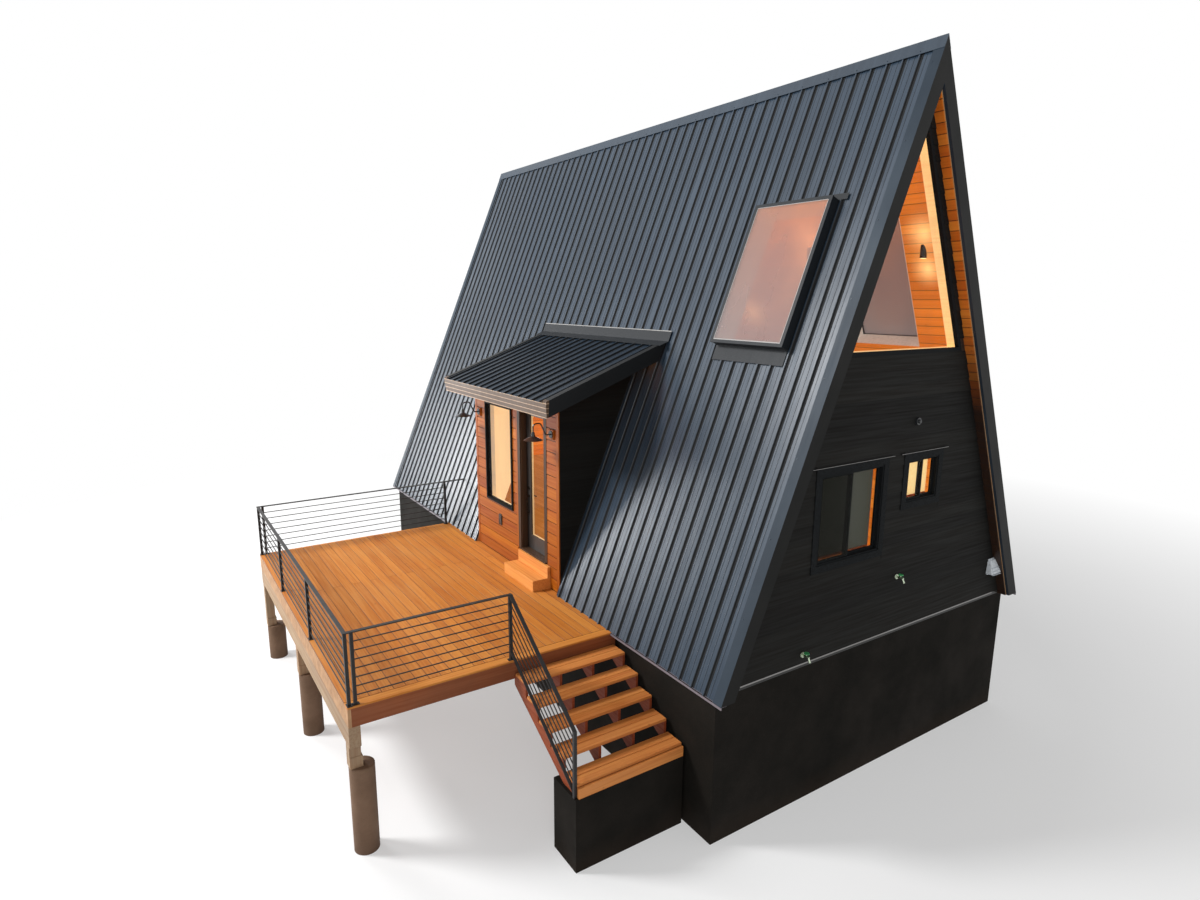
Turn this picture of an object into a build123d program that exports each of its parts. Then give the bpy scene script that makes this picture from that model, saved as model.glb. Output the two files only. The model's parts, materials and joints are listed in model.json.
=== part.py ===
from build123d import *
import os
from math import atan2, cos, degrees, radians, sin, tan

# A-frame cabin on a sloping site, with a side entry under a shed roof, a deck on piers and a stair.
# Millimetres, +Z up. The front gable faces -Y, the deck and the entry are on the -X side.
# The origin is under the middle of the whole footprint, at the lowest ground that the cabin reaches.

# Heights: every height below is measured from the deck surface, which lies at the eaves
deck_height = 2000          # deck surface above the lowest ground
floor_top = 400             # ground floor above the deck, two steps up
floor_depth = 400
loft_top = 3170
loft_depth = 250

# Main roof
half_width = 3190           # ridge to eave
ridge_height = 7720
length = 12190
rafter_depth = 190
lining_thickness = 20
rake_board = 40
rake_depth = 200
rake_flange = 150           # flat edge trim on the ribs, seen from the side
trim_sheet = 4
gable_setback = 170         # rake face to gable wall face
gable_thickness = 150
ridge_cap_leg = 155
ridge_cap_sheet = 6

# Ribbed roofing, a folded sheet that runs up the slope
rib_height = 22
rib_base = 46
rib_top = 20
rib_pitch = 233
first_rib = 330             # rake face to the middle of the first rib
sheet_thickness = 3

# Foundation
foundation_inset = 90       # eave line to foundation face
foundation_setback = 190    # rake face to foundation face
foundation_thickness = 200

# Gable windows
slider_large = (1220, 1180)
slider_large_x = -915
slider_small = (690, 600)
slider_small_x = 560
slider_head = 2525
slider_frame_rail = 22
sash_rail = 30
sash_thickness = 32
sash_tracks = (16, 50)      # frame face to the outer face of each sash
casing_width = 95
casing_thickness = 22
head_cap = (90, 4, 34)      # reach past the casing, thickness, depth from the wall
triangle_sill = 3960
triangle_margin = 90        # lining to the triangular opening
triangle_rail = 55
frame_proud = 12            # window frames stand out from the wall
frame_depth = 100
glass_thickness = 12

# Skylights, one on each slope
skylight_front = 820
skylight_width = 1330
skylight_low = 4350         # up the slope from the eave
skylight_length = 2020
curb_width = 50
curb_height = 130           # above the ribs
cap_overhang = 6            # glazing cap around the top of the curb
cap_depth = 20
apron_length = 215
head_flashing_length = 85
head_flashing_reach = 130
flat_flashing = 4

# Entry under the shed roof
entry_front = 3900
entry_width = 3150
entry_wall_x = 3090         # ridge to the face of the entry wall
entry_wall_thickness = 150
cheek_thickness = 150
porch_front = 3300
porch_width = 3870
porch_eave_x = 3650         # ridge to the face of the porch eave
porch_eave_height = 3220
porch_pitch = 20.4
porch_rafters = 140
porch_fascia_board = 40
porch_fascia_depth = 210
porch_fascia_steps = 3
porch_fascia_step = 9       # each band of the fascia stands back by this much
porch_flange = 120          # flat edge trim on the porch ribs
porch_first_rib = 60        # flange to the middle of the first porch rib
flashing_leg = 170
flashing_sheet = 5
flashing_reach = 60         # past the porch rakes

# Door and the fixed window beside it
door_from_corner = 444      # front corner of the entry to the door opening
door_opening_width = 917
door_opening_head = 2900
door_jamb = 44
door_gap = 8
door_thickness = 45
door_recess = 105           # wall face to the outer face of the door leaf, flush inside
door_stop = 14
door_casing = (90, 20)      # width and depth of the casing on the wall
casing_reveal = 6           # of the jamb that the casing leaves bare
hinge_radius = 8
hinge_height = 90
hinge_strap = (32, 2.5)
hinge_play = 0.3
hinge_inset = 190           # leaf ends to the middle of the outer hinges
door_stile = 150
door_bottom_rail = 252
door_top_rail = 110
door_glass_setback = 8      # outer face of the leaf to the glass
light_bead = (16, 6)        # width and depth of the bead around the door light
sill_height = 370
sill_nosing = 30
handle_height = 930
handle_backset = 62
handle_rose = 27
handle_neck = 45
handle_lever = (110, 20, 12)
handle_grip = (18, 12)      # width and thickness of the outer grip
handle_grip_drop = 290      # latch down to the foot of the grip
deadbolt_rise = 140
deadbolt_rose = (30, 16)
deadbolt_turn = (12, 40, 26)
window_from_door = 248      # door opening to the fixed window
entry_window_width = 1075
entry_window_sill = 990
entry_window_height = 1820
entry_window_rail = 35
entry_window_proud = 40
entry_glass_setback = 32    # outer face of the frame to the glass

# Steps at the door, each as high as half the sill
step_before_door = 144
step_width = 1050
step_reach = 340
step_landing = 70

# Deck
deck_reach = 6840           # ridge to the outer edge
deck_front = 2320
deck_depth = 6170
deck_board = 25
deck_joist = (38, 235)
deck_joist_bays = 15
deck_beam_size = (140, 285)
deck_beam_inset = 20
post_size = 140
post_inset = 140            # deck ends to post centres
pier_radius = 153
pier_drops = (840, 980, 1350)   # deck surface down to each pier
pier_edge = 10
post_base = (156, 150)       # width and height of the block under each post

# Railings
rail_height = 914
rail_post = 40
rail_top = (50, 14)
rail_bar = 12
rail_bars = 7
rail_end = 4720             # ridge to the last post of the front rail
rail_left_bays = 3
rail_inset = 32             # deck edge to the middle of the posts
rail_plate = (60, 90, 8)
rail_wall_post = 3250
newel_setback = 750         # rake face to the newel
newel_height = 860

# Stair
stair_inner = 3150          # ridge to the stair's inner side
stair_width = 1550
tread_rise = 172
tread_run = 318
tread_count = 5
tread_board = (140, 38)
tread_gap = 6
stringer_thickness = 38
stringer_count = 4
footing_depth = 520

# Lamps beside the door and window
lamp_height = 2580
lamp_reach = 350
lamp_rise = 190
lamp_pipe = 11
lamp_bend = 90
lamp_fillet = 54
lamp_plate = 60
lamp_shade = 150
lamp_collar = (22, 33)      # radius of the shade's collar at its top and foot
lamp_collar_height = 63
lamp_pipe_sides = 8
lamp_from_corner = 200
lamp_block = (142, 150, 40)     # mounting block under the plate

# Worked out from the sizes above
ridge_x = (deck_reach - half_width) / 2
front_y = -length / 2
pitch = atan2(ridge_height, half_width)
slope_length = half_width / cos(pitch)
roofing_thickness = rib_height + sheet_thickness
inner_depth = roofing_thickness + rafter_depth + lining_thickness
porch_slope = radians(porch_pitch)
porch_back = porch_front + porch_width
entry_back = entry_front + entry_width
deck_back = deck_front + deck_depth
gable_inner = gable_setback + gable_thickness


def across(y):
    """Plane that faces the front, at y behind the rake face: x from the ridge, y from the deck."""
    return Plane(origin=(ridge_x, front_y + y, deck_height), x_dir=(1, 0, 0), z_dir=(0, -1, 0))


def level(z):
    """Level plane at z above the deck: x from the ridge, y from the rake face."""
    return Plane(origin=(ridge_x, front_y, deck_height + z))


def along(x):
    """Plane that faces the deck side, at x from the ridge: x from the rake face, y from the deck."""
    return Plane(origin=(ridge_x + x, front_y, deck_height), x_dir=(0, 1, 0), z_dir=(1, 0, 0))


def on_slope(depth):
    """Plane of the deck-side slope, at a depth below the ribs: x from the rake face, y up the slope."""
    out = Vector(-sin(pitch), 0, cos(pitch))
    foot = Vector(ridge_x - half_width, front_y, deck_height) - out * depth
    return Plane(origin=foot, x_dir=(0, 1, 0), z_dir=-out)


def section_of(eave, angle, start=0):
    """Plane across a slope on the deck side: x along the eave from start, y out from the rib tops."""
    origin = (ridge_x - eave[0], front_y + start, deck_height + eave[1])
    return Plane(origin=origin, x_dir=(0, 1, 0), z_dir=(cos(angle), 0, sin(angle)))


def to_right(piece):
    """The same piece on the slope away from the deck."""
    return mirror(piece, about=Plane.YZ.offset(ridge_x), mode=Mode.PRIVATE)


def to_back(piece):
    """The same piece at the back gable."""
    return mirror(piece, about=Plane.XZ, mode=Mode.PRIVATE)


def half_at(z, depth):
    """Half width of the A at height z, at a depth below the top of the roofing."""
    return half_width * (1 - z / ridge_height) - depth / sin(pitch)


def apex_at(depth):
    return ridge_height - depth / cos(pitch)


def slope_outline(side, outer, inner, foot=0):
    """Outline of one layer of one slope, from the foot height up to the ridge."""
    return [
        (side * half_at(foot, outer), foot),
        (side * half_at(foot, inner), foot),
        (0, apex_at(inner)),
        (0, apex_at(outer)),
    ]


def porch_line(x, depth):
    """Height of a porch roof layer at x from the ridge, at a depth below its ribs."""
    return porch_eave_height - depth / cos(porch_slope) + (x + porch_eave_x) * tan(porch_slope)


def porch_meets_roof(depth, roof_depth=0):
    """Point where a porch roof layer runs into a layer of the main roof."""
    narrowing = half_width / ridge_height
    start = porch_line(0, depth)
    x = (narrowing * start - half_width + roof_depth / sin(pitch)) / (1 - narrowing * tan(porch_slope))
    return (x, porch_line(x, depth))


def slab(plane, outline, depth):
    """A slab with the given outline, running back from its plane."""
    with BuildPart() as piece:
        with BuildSketch(plane):
            with BuildLine():
                Polyline(*outline, close=True)
            make_face()
        extrude(amount=depth)
    return piece.part


def gable_slab(front, outline, thickness):
    return slab(across(front), outline, -thickness)


def block(low, high):
    """Box between two corners, given from the ridge, the rake face and the deck."""
    with BuildPart() as piece:
        with BuildSketch(level(low[2])):
            with Locations(((low[0] + high[0]) / 2, (low[1] + high[1]) / 2)):
                Rectangle(high[0] - low[0], high[1] - low[1])
        extrude(amount=high[2] - low[2])
    return piece.part


parts = {}

# Foundation walls, down to the lowest ground
foundation_half = half_width - foundation_inset
foundation_back = length - foundation_setback
side_front = foundation_setback + foundation_thickness
side_back = foundation_back - foundation_thickness
parts["foundation_front"] = block(
    (-foundation_half, foundation_setback, -deck_height), (foundation_half, side_front, 0)
)
parts["foundation_back"] = block(
    (-foundation_half, side_back, -deck_height), (foundation_half, foundation_back, 0)
)
parts["foundation_left"] = block(
    (-foundation_half, side_front, -deck_height),
    (foundation_thickness - foundation_half, side_back, 0),
)
parts["foundation_right"] = block(
    (foundation_half - foundation_thickness, side_front, -deck_height),
    (foundation_half, side_back, 0),
)

# Floors, cut to the slope of the lining
floor_low = floor_top - floor_depth
loft_low = loft_top - loft_depth


def floor_outline(low, high):
    return [
        (-half_at(low, inner_depth), low),
        (half_at(low, inner_depth), low),
        (half_at(high, inner_depth), high),
        (-half_at(high, inner_depth), high),
    ]


floor_length = length - 2 * gable_inner
with BuildPart() as ground_floor:
    with BuildSketch(across(gable_inner)):
        with BuildLine():
            Polyline(*floor_outline(floor_low, floor_top), close=True)
        make_face()
    extrude(amount=-floor_length)
    with BuildSketch(level(floor_low)):
        entry_inner_x = entry_wall_thickness - entry_wall_x
        reach = half_at(floor_top, inner_depth) / 2
        with Locations((-(reach - entry_inner_x) / 2, (entry_front + entry_back) / 2)):
            Rectangle(-entry_inner_x - reach, entry_width)
    extrude(amount=floor_depth)
parts["ground_floor"] = ground_floor.part

parts["loft_floor"] = gable_slab(gable_inner, floor_outline(loft_low, loft_top), floor_length)

# Main roof slopes: the deck side is split around the entry
slab_outer = roofing_thickness
slab_inner = roofing_thickness + rafter_depth
roof_start = rake_board
roof_end = length - rake_board
entry_head = porch_meets_roof(roofing_thickness + porch_rafters)[1]
skylight_centre = (skylight_front + skylight_width / 2, skylight_low + skylight_length / 2)
curb_size = (skylight_width, skylight_length)
skylight_glass_size = (skylight_width - 2 * curb_width, skylight_length - 2 * curb_width)


def slope_layer(outer, inner, start, end, skylight_opening, entry=False):
    """A layer of the deck-side slope, open at the skylight and, where asked, at the entry."""
    with BuildPart() as layer:
        with BuildSketch(across(start)):
            with BuildLine():
                Polyline(*slope_outline(-1, outer, inner), close=True)
            make_face()
        extrude(amount=start - end)
        with BuildSketch(on_slope(0)):
            with Locations(skylight_centre):
                Rectangle(*skylight_opening)
        extrude(amount=2 * inner_depth, mode=Mode.SUBTRACT)
        if entry:
            with BuildSketch(across(entry_front)):
                with Locations((-half_width, entry_head / 2)):
                    Rectangle(2 * half_width, entry_head)
            extrude(amount=-entry_width, mode=Mode.SUBTRACT)
    return layer.part


parts["roof_left_front"] = slope_layer(
    slab_outer, slab_inner, roof_start, entry_front, skylight_glass_size
)
parts["roof_left_over_entry"] = gable_slab(
    entry_front, slope_outline(-1, slab_outer, slab_inner, entry_head), entry_width
)
parts["roof_left_back"] = gable_slab(
    entry_back, slope_outline(-1, slab_outer, slab_inner), roof_end - entry_back
)
parts["roof_right"] = to_right(
    slope_layer(slab_outer, slab_inner, roof_start, roof_end, skylight_glass_size)
)
parts["lining_left"] = slope_layer(
    slab_inner, inner_depth, roof_start, roof_end, skylight_glass_size, entry=True
)
parts["lining_right"] = to_right(
    slope_layer(slab_inner, inner_depth, roof_start, roof_end, skylight_glass_size)
)


# Ribbed roofing: a folded sheet with trapezoidal ribs, cut level at the eave and mitred at the ridge
def ribbed_sheet(plane, start, end, first, reach):
    """Ribbed sheet from start to end along the eave, its ribs laid from the first one."""
    side_angle = degrees(atan2(rib_height, (rib_base - rib_top) / 2))
    narrowing = sheet_thickness / sin(radians(side_angle)) - sheet_thickness / tan(radians(side_angle))
    ribs = 1 + int((end - rib_base / 2 - first) / rib_pitch)
    centres = [first + index * rib_pitch for index in range(ribs)]
    with BuildPart() as sheet:
        with BuildSketch(plane):
            with Locations(((start + end) / 2, -rib_height - sheet_thickness / 2)):
                Rectangle(end - start, sheet_thickness)
            with Locations(*[(centre, -rib_height / 2) for centre in centres]):
                Trapezoid(rib_base, rib_height, side_angle)
            with Locations(*[(centre, -sheet_thickness - rib_height / 2) for centre in centres]):
                Trapezoid(rib_base - 2 * narrowing, rib_height, side_angle, mode=Mode.SUBTRACT)
        extrude(amount=reach, both=True)
    return sheet.part


def main_roofing(entry):
    end = length - rake_flange
    layer = slope_layer(0, roofing_thickness, rake_flange, end, curb_size, entry)
    section = section_of((half_width, 0), pitch)
    with BuildPart() as roofing:
        add(ribbed_sheet(section, rake_flange, end, first_rib, 2 * slope_length))
        add(layer, mode=Mode.INTERSECT)
    return roofing.part


parts["roofing_left"] = main_roofing(entry=True)
parts["roofing_right"] = to_right(main_roofing(entry=False))


def edge_trim(section, board, flange, start, outline):
    """Trim up a slope: a board on its end, a flange on the ribs and a hem down to the sheet."""
    with BuildPart() as trim:
        with BuildSketch(section):
            with Locations((board[0] / 2, -board[1] / 2)):
                Rectangle(*board)
            with Locations((flange / 2, -trim_sheet / 2)):
                Rectangle(flange, trim_sheet)
            with Locations((flange - trim_sheet / 2, -roofing_thickness / 2)):
                Rectangle(trim_sheet, roofing_thickness)
        extrude(amount=2 * slope_length, both=True)
        with BuildSketch(across(start)):
            with BuildLine():
                Polyline(*outline, close=True)
            make_face()
        extrude(amount=-flange, mode=Mode.INTERSECT)
    return trim.part


parts["rake_front_left"] = edge_trim(
    section_of((half_width, 0), pitch),
    (rake_board, rake_depth),
    rake_flange,
    0,
    slope_outline(-1, 0, rake_depth),
)
parts["rake_front_right"] = to_right(parts["rake_front_left"])
parts["rake_back_left"] = to_back(parts["rake_front_left"])
parts["rake_back_right"] = to_back(parts["rake_front_right"])

# Ridge cap, a folded sheet
cap_foot_z = ridge_height - ridge_cap_leg * sin(pitch)
cap_top = ridge_height + ridge_cap_sheet / cos(pitch)
cap_edge_z = cap_foot_z + ridge_cap_sheet * cos(pitch)
cap_inner = half_at(cap_foot_z, 0)
cap_outer = half_at(cap_edge_z, -ridge_cap_sheet)
parts["ridge_cap"] = gable_slab(
    0,
    [
        (-cap_inner, cap_foot_z),
        (-cap_outer, cap_edge_z),
        (0, cap_top),
        (cap_outer, cap_edge_z),
        (cap_inner, cap_foot_z),
        (0, ridge_height),
    ],
    length,
)

# Gable walls with two sliding windows below and a triangular one in the loft
slider_large_z = slider_head - slider_large[1] / 2
slider_small_z = slider_head - slider_small[1] / 2
triangle_depth = inner_depth + triangle_margin


def triangle_outline(depth, sill):
    return [(-half_at(sill, depth), sill), (half_at(sill, depth), sill), (0, apex_at(depth))]


sliders = (
    (slider_large, slider_large_x, slider_large_z),
    (slider_small, slider_small_x, slider_small_z),
)
glazed_triangle = triangle_outline(triangle_depth + triangle_rail, triangle_sill + triangle_rail)
frame_face = gable_setback - frame_proud

with BuildPart() as gable_wall:
    with BuildSketch(across(gable_setback)):
        with BuildLine():
            Polyline(*triangle_outline(inner_depth, 0), close=True)
        make_face()
        for size, x, z in sliders:
            with Locations((x, z)):
                Rectangle(*size, mode=Mode.SUBTRACT)
        with BuildLine():
            Polyline(*triangle_outline(triangle_depth, triangle_sill), close=True)
        make_face(mode=Mode.SUBTRACT)
    extrude(amount=-gable_thickness)
parts["gable_wall_front"] = gable_wall.part
parts["gable_wall_back"] = to_back(gable_wall.part)


def sash_size(size):
    """Each sash passes the other by one stile."""
    inner = size[0] - 2 * slider_frame_rail
    return ((inner + sash_rail) / 2, size[1] - 2 * slider_frame_rail)


def sash_places(size, x, z):
    """Middle of each sash with its distance behind the face of the frame."""
    shift = (size[0] / 2 - slider_frame_rail) - sash_size(size)[0] / 2
    return [((x + side * shift, z), track) for side, track in zip((-1, 1), sash_tracks)]


# Sliding windows: casing with a head cap, a frame and two sashes in their own tracks
with BuildPart() as window_frames:
    for size, x, z in sliders:
        with BuildSketch(across(gable_setback)):
            with Locations((x, z)):
                Rectangle(size[0] + 2 * casing_width, size[1] + 2 * casing_width)
                Rectangle(*size, mode=Mode.SUBTRACT)
        extrude(amount=casing_thickness)
        with BuildSketch(across(gable_setback)):
            with Locations((x, z + size[1] / 2 + casing_width + head_cap[1] / 2)):
                Rectangle(size[0] + 2 * (casing_width + head_cap[0]), head_cap[1])
        extrude(amount=head_cap[2])
        with BuildSketch(across(frame_face)):
            with Locations((x, z)):
                Rectangle(*size)
                Rectangle(
                    size[0] - 2 * slider_frame_rail,
                    size[1] - 2 * slider_frame_rail,
                    mode=Mode.SUBTRACT,
                )
        extrude(amount=-frame_depth)
        width, height = sash_size(size)
        for place, track in sash_places(size, x, z):
            with BuildSketch(across(frame_face + track)):
                with Locations(place):
                    Rectangle(width, height)
                    Rectangle(width - 2 * sash_rail, height - 2 * sash_rail, mode=Mode.SUBTRACT)
            extrude(amount=-sash_thickness)
    with BuildSketch(across(frame_face)):
        with BuildLine():
            Polyline(*triangle_outline(triangle_depth, triangle_sill), close=True)
        make_face()
        with BuildLine():
            Polyline(*glazed_triangle, close=True)
        make_face(mode=Mode.SUBTRACT)
    extrude(amount=-frame_depth)
parts["window_frames_front"] = window_frames.part
parts["window_frames_back"] = to_back(window_frames.part)

with BuildPart() as window_glass:
    for size, x, z in sliders:
        width, height = sash_size(size)
        for place, track in sash_places(size, x, z):
            with BuildSketch(across(frame_face + track + (sash_thickness - glass_thickness) / 2)):
                with Locations(place):
                    Rectangle(width - 2 * sash_rail, height - 2 * sash_rail)
            extrude(amount=-glass_thickness)
    with BuildSketch(across(frame_face + (frame_depth - glass_thickness) / 2)):
        with BuildLine():
            Polyline(*glazed_triangle, close=True)
        make_face()
    extrude(amount=-glass_thickness)
parts["window_glass_front"] = window_glass.part
parts["window_glass_back"] = to_back(window_glass.part)

# Skylights: a curb through the roofing, a glazing cap, an apron below and a head flashing above
with BuildPart() as skylight_curb:
    with BuildSketch(on_slope(roofing_thickness)):
        with Locations(skylight_centre):
            Rectangle(*curb_size)
            Rectangle(*skylight_glass_size, mode=Mode.SUBTRACT)
    extrude(amount=-roofing_thickness - curb_height)
    with BuildSketch(on_slope(cap_depth - curb_height)):
        with Locations(skylight_centre):
            Rectangle(skylight_width + 2 * cap_overhang, skylight_length + 2 * cap_overhang)
            Rectangle(*skylight_glass_size, mode=Mode.SUBTRACT)
    extrude(amount=-cap_depth)
    with BuildSketch(on_slope(0)):
        with Locations((skylight_centre[0], skylight_low - apron_length / 2)):
            Rectangle(skylight_width, apron_length)
        with Locations((skylight_centre[0], skylight_low + skylight_length + head_flashing_length / 2)):
            Rectangle(skylight_width + 2 * head_flashing_reach, head_flashing_length)
    extrude(amount=-flat_flashing)
    mirror(about=Plane.YZ.offset(ridge_x))
parts["skylight_curb"] = skylight_curb.part

with BuildPart() as skylight_glass:
    with BuildSketch(on_slope(glass_thickness - curb_height)):
        with Locations(skylight_centre):
            Rectangle(*skylight_glass_size)
    extrude(amount=-glass_thickness)
    mirror(about=Plane.YZ.offset(ridge_x))
parts["skylight_glass"] = skylight_glass.part

# Entry: floor-height base, wall pieces, cheeks
entry_inner = -entry_wall_x + entry_wall_thickness
porch_under = roofing_thickness + porch_rafters
door_opening_front = entry_front + door_from_corner
door_opening_back = door_opening_front + door_opening_width
entry_window_middle = (
    door_opening_back + window_from_door + entry_window_width / 2,
    entry_window_sill + entry_window_height / 2,
)
parts["entry_wall_base"] = block(
    (-entry_wall_x, entry_front, 0), (entry_inner, entry_back, sill_height)
)
parts["entry_wall_beside_door"] = block(
    (-entry_wall_x, entry_front, sill_height), (entry_inner, door_opening_front, door_opening_head)
)
with BuildPart() as entry_wall_window_side:
    with BuildSketch(along(-entry_wall_x)):
        middle = (door_opening_back + entry_back) / 2
        with Locations((middle, (sill_height + door_opening_head) / 2)):
            Rectangle(entry_back - door_opening_back, door_opening_head - sill_height)
        with Locations(entry_window_middle):
            Rectangle(entry_window_width, entry_window_height, mode=Mode.SUBTRACT)
    extrude(amount=entry_wall_thickness)
parts["entry_wall_window_side"] = entry_wall_window_side.part

parts["entry_wall_head"] = gable_slab(
    entry_front,
    [
        (-entry_wall_x, door_opening_head),
        (entry_inner, door_opening_head),
        (entry_inner, porch_line(entry_inner, porch_under)),
        (-entry_wall_x, porch_line(-entry_wall_x, porch_under)),
    ],
    entry_width,
)

cheek_outline = [
    (entry_inner, floor_top),
    (-half_at(floor_top, inner_depth), floor_top),
    (-half_at(entry_head, inner_depth), entry_head),
    porch_meets_roof(porch_under),
    (entry_inner, porch_line(entry_inner, porch_under)),
]
parts["cheek_front"] = gable_slab(entry_front, cheek_outline, cheek_thickness)
parts["cheek_back"] = gable_slab(entry_back - cheek_thickness, cheek_outline, cheek_thickness)


# Porch roof: rafters and deck, sheet, fascia and flashing
def porch_outline(start, outer, inner):
    return [
        (start, porch_line(start, outer)),
        (start, porch_line(start, inner)),
        porch_meets_roof(inner),
        porch_meets_roof(outer),
    ]


rafter_start = -porch_eave_x + porch_fascia_board
fascia_under = roofing_thickness + porch_fascia_depth
fascia_band = porch_fascia_depth / porch_fascia_steps
parts["porch_roof"] = gable_slab(
    porch_front + porch_fascia_board,
    porch_outline(rafter_start, roofing_thickness, porch_under),
    porch_width - 2 * porch_fascia_board,
)
porch_eave = (porch_eave_x, porch_eave_height)
porch_sheet = (porch_front + porch_flange, porch_back - porch_flange)
porch_skin = porch_outline(-porch_eave_x, 0, roofing_thickness)
with BuildPart() as porch_roofing:
    add(ribbed_sheet(
        section_of(porch_eave, porch_slope),
        *porch_sheet,
        porch_sheet[0] + porch_first_rib,
        2 * porch_eave_x,
    ))
    with BuildSketch(across(porch_sheet[0])):
        with BuildLine():
            Polyline(*porch_skin, close=True)
        make_face()
    extrude(amount=porch_sheet[0] - porch_sheet[1], mode=Mode.INTERSECT)
parts["porch_roofing"] = porch_roofing.part

# The fascia goes round three sides in stepped bands, each standing back from the one above,
# and carries a flat trim over the ends of the sheet at both rakes
porch_trim = edge_trim(
    section_of(porch_eave, porch_slope, porch_front),
    (porch_fascia_board, roofing_thickness),
    porch_flange,
    porch_front,
    porch_skin,
)
porch_middle = Plane.XZ.offset(-front_y - (porch_front + porch_back) / 2)
with BuildPart() as porch_fascia:
    for band in range(porch_fascia_steps):
        stand_back = band * porch_fascia_step
        top = roofing_thickness + band * fascia_band
        with BuildSketch(across(porch_front + stand_back)):
            with BuildLine():
                Polyline(
                    *porch_outline(stand_back - porch_eave_x, top, top + fascia_band), close=True
                )
            make_face()
        extrude(amount=2 * stand_back - porch_width)
    with BuildSketch(across(porch_front + porch_fascia_board)):
        with BuildLine():
            Polyline(*porch_outline(rafter_start, roofing_thickness, fascia_under), close=True)
        make_face()
    extrude(amount=2 * porch_fascia_board - porch_width, mode=Mode.SUBTRACT)
    add(porch_trim)
    add(mirror(porch_trim, about=porch_middle, mode=Mode.PRIVATE))
parts["porch_fascia"] = porch_fascia.part

corner = Vector(*porch_meets_roof(0))
up_roof = Vector(cos(pitch), sin(pitch))
down_porch = Vector(-cos(porch_slope), -sin(porch_slope))
from_roof = Vector(-sin(pitch), cos(pitch)) * flashing_sheet
from_porch = Vector(-sin(porch_slope), cos(porch_slope)) * flashing_sheet
fold = Vector(*porch_meets_roof(-flashing_sheet, -flashing_sheet))
flashing_points = (
    corner,
    corner + down_porch * flashing_leg,
    corner + down_porch * flashing_leg + from_porch,
    fold,
    corner + up_roof * flashing_leg + from_roof,
    corner + up_roof * flashing_leg,
)
parts["porch_flashing"] = gable_slab(
    porch_front - flashing_reach,
    [(point.X, point.Y) for point in flashing_points],
    porch_width + 2 * flashing_reach,
)

# Fixed window beside the door
entry_glass_size = (
    entry_window_width - 2 * entry_window_rail,
    entry_window_height - 2 * entry_window_rail,
)
with BuildPart() as entry_window_frame:
    with BuildSketch(along(-entry_wall_x - entry_window_proud)):
        with Locations(entry_window_middle):
            Rectangle(entry_window_width, entry_window_height)
            Rectangle(*entry_glass_size, mode=Mode.SUBTRACT)
    extrude(amount=frame_depth)
parts["entry_window_frame"] = entry_window_frame.part

with BuildPart() as entry_window_glass:
    with BuildSketch(along(-entry_wall_x - entry_window_proud + entry_glass_setback)):
        with Locations(entry_window_middle):
            Rectangle(*entry_glass_size)
    extrude(amount=glass_thickness)
parts["entry_window_glass"] = entry_window_glass.part

# Door frame: jambs and head through the wall, a stop outside the leaf
door_middle = door_opening_front + door_opening_width / 2
frame_height = door_opening_head - sill_height
leaf_width = door_opening_width - 2 * (door_jamb + door_gap)
leaf_low = floor_top + door_gap
leaf_high = door_opening_head - door_jamb - door_gap
leaf_height = leaf_high - leaf_low
leaf_x = -entry_wall_x + door_recess
with BuildPart() as door_frame:
    with BuildSketch(along(-entry_wall_x)):
        with Locations((door_middle, sill_height + frame_height / 2)):
            Rectangle(door_opening_width, frame_height)
        with Locations((door_middle, (floor_top + door_opening_head - door_jamb) / 2)):
            Rectangle(
                door_opening_width - 2 * door_jamb,
                door_opening_head - door_jamb - floor_top,
                mode=Mode.SUBTRACT,
            )
    extrude(amount=entry_wall_thickness)
    with BuildSketch(along(-entry_wall_x)):
        with Locations((door_middle, (floor_top + door_opening_head - door_jamb) / 2)):
            Rectangle(door_opening_width - 2 * door_jamb, door_opening_head - door_jamb - floor_top)
        with Locations((door_middle, (floor_top + door_opening_head - door_jamb - door_stop) / 2)):
            Rectangle(
                door_opening_width - 2 * (door_jamb + door_stop),
                door_opening_head - door_jamb - door_stop - floor_top,
                mode=Mode.SUBTRACT,
            )
    extrude(amount=door_recess - door_gap)
    with BuildSketch(along(-entry_wall_x)):
        with Locations((door_middle, (sill_height + floor_top) / 2)):
            Rectangle(door_opening_width, floor_top - sill_height)
    extrude(amount=-sill_nosing)
    with BuildSketch(along(-entry_wall_x)):
        inner_width = door_opening_width - 2 * (door_jamb - casing_reveal)
        inner_height = door_opening_head - door_jamb + casing_reveal - floor_top
        with Locations((door_middle, floor_top + (inner_height + door_casing[0]) / 2)):
            Rectangle(inner_width + 2 * door_casing[0], inner_height + door_casing[0])
        with Locations((door_middle, floor_top + inner_height / 2)):
            Rectangle(inner_width, inner_height, mode=Mode.SUBTRACT)
    extrude(amount=-door_casing[1])
parts["door_frame"] = door_frame.part

# Door leaf with a full light, its glass and its lever handles
hinge_x = leaf_x + door_thickness + hinge_radius
hinge_y = door_middle - leaf_width / 2 - door_gap / 2
knuckle = hinge_height / 3
hinge_heights = (leaf_low + hinge_inset, leaf_low + leaf_height / 2, leaf_high - hinge_inset)


def hinge_knuckle(low, high, side):
    """A knuckle on the hinge axis with its strap, which lies on the jamb or on the leaf."""
    with BuildPart() as piece:
        with BuildSketch(level(low)):
            with Locations((hinge_x, hinge_y)):
                Circle(hinge_radius)
            with Locations(
                (hinge_x - hinge_radius + hinge_strap[1] / 2, hinge_y + side * hinge_strap[0] / 2)
            ):
                Rectangle(hinge_strap[1], hinge_strap[0])
        extrude(amount=high - low)
    return piece.part


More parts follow.
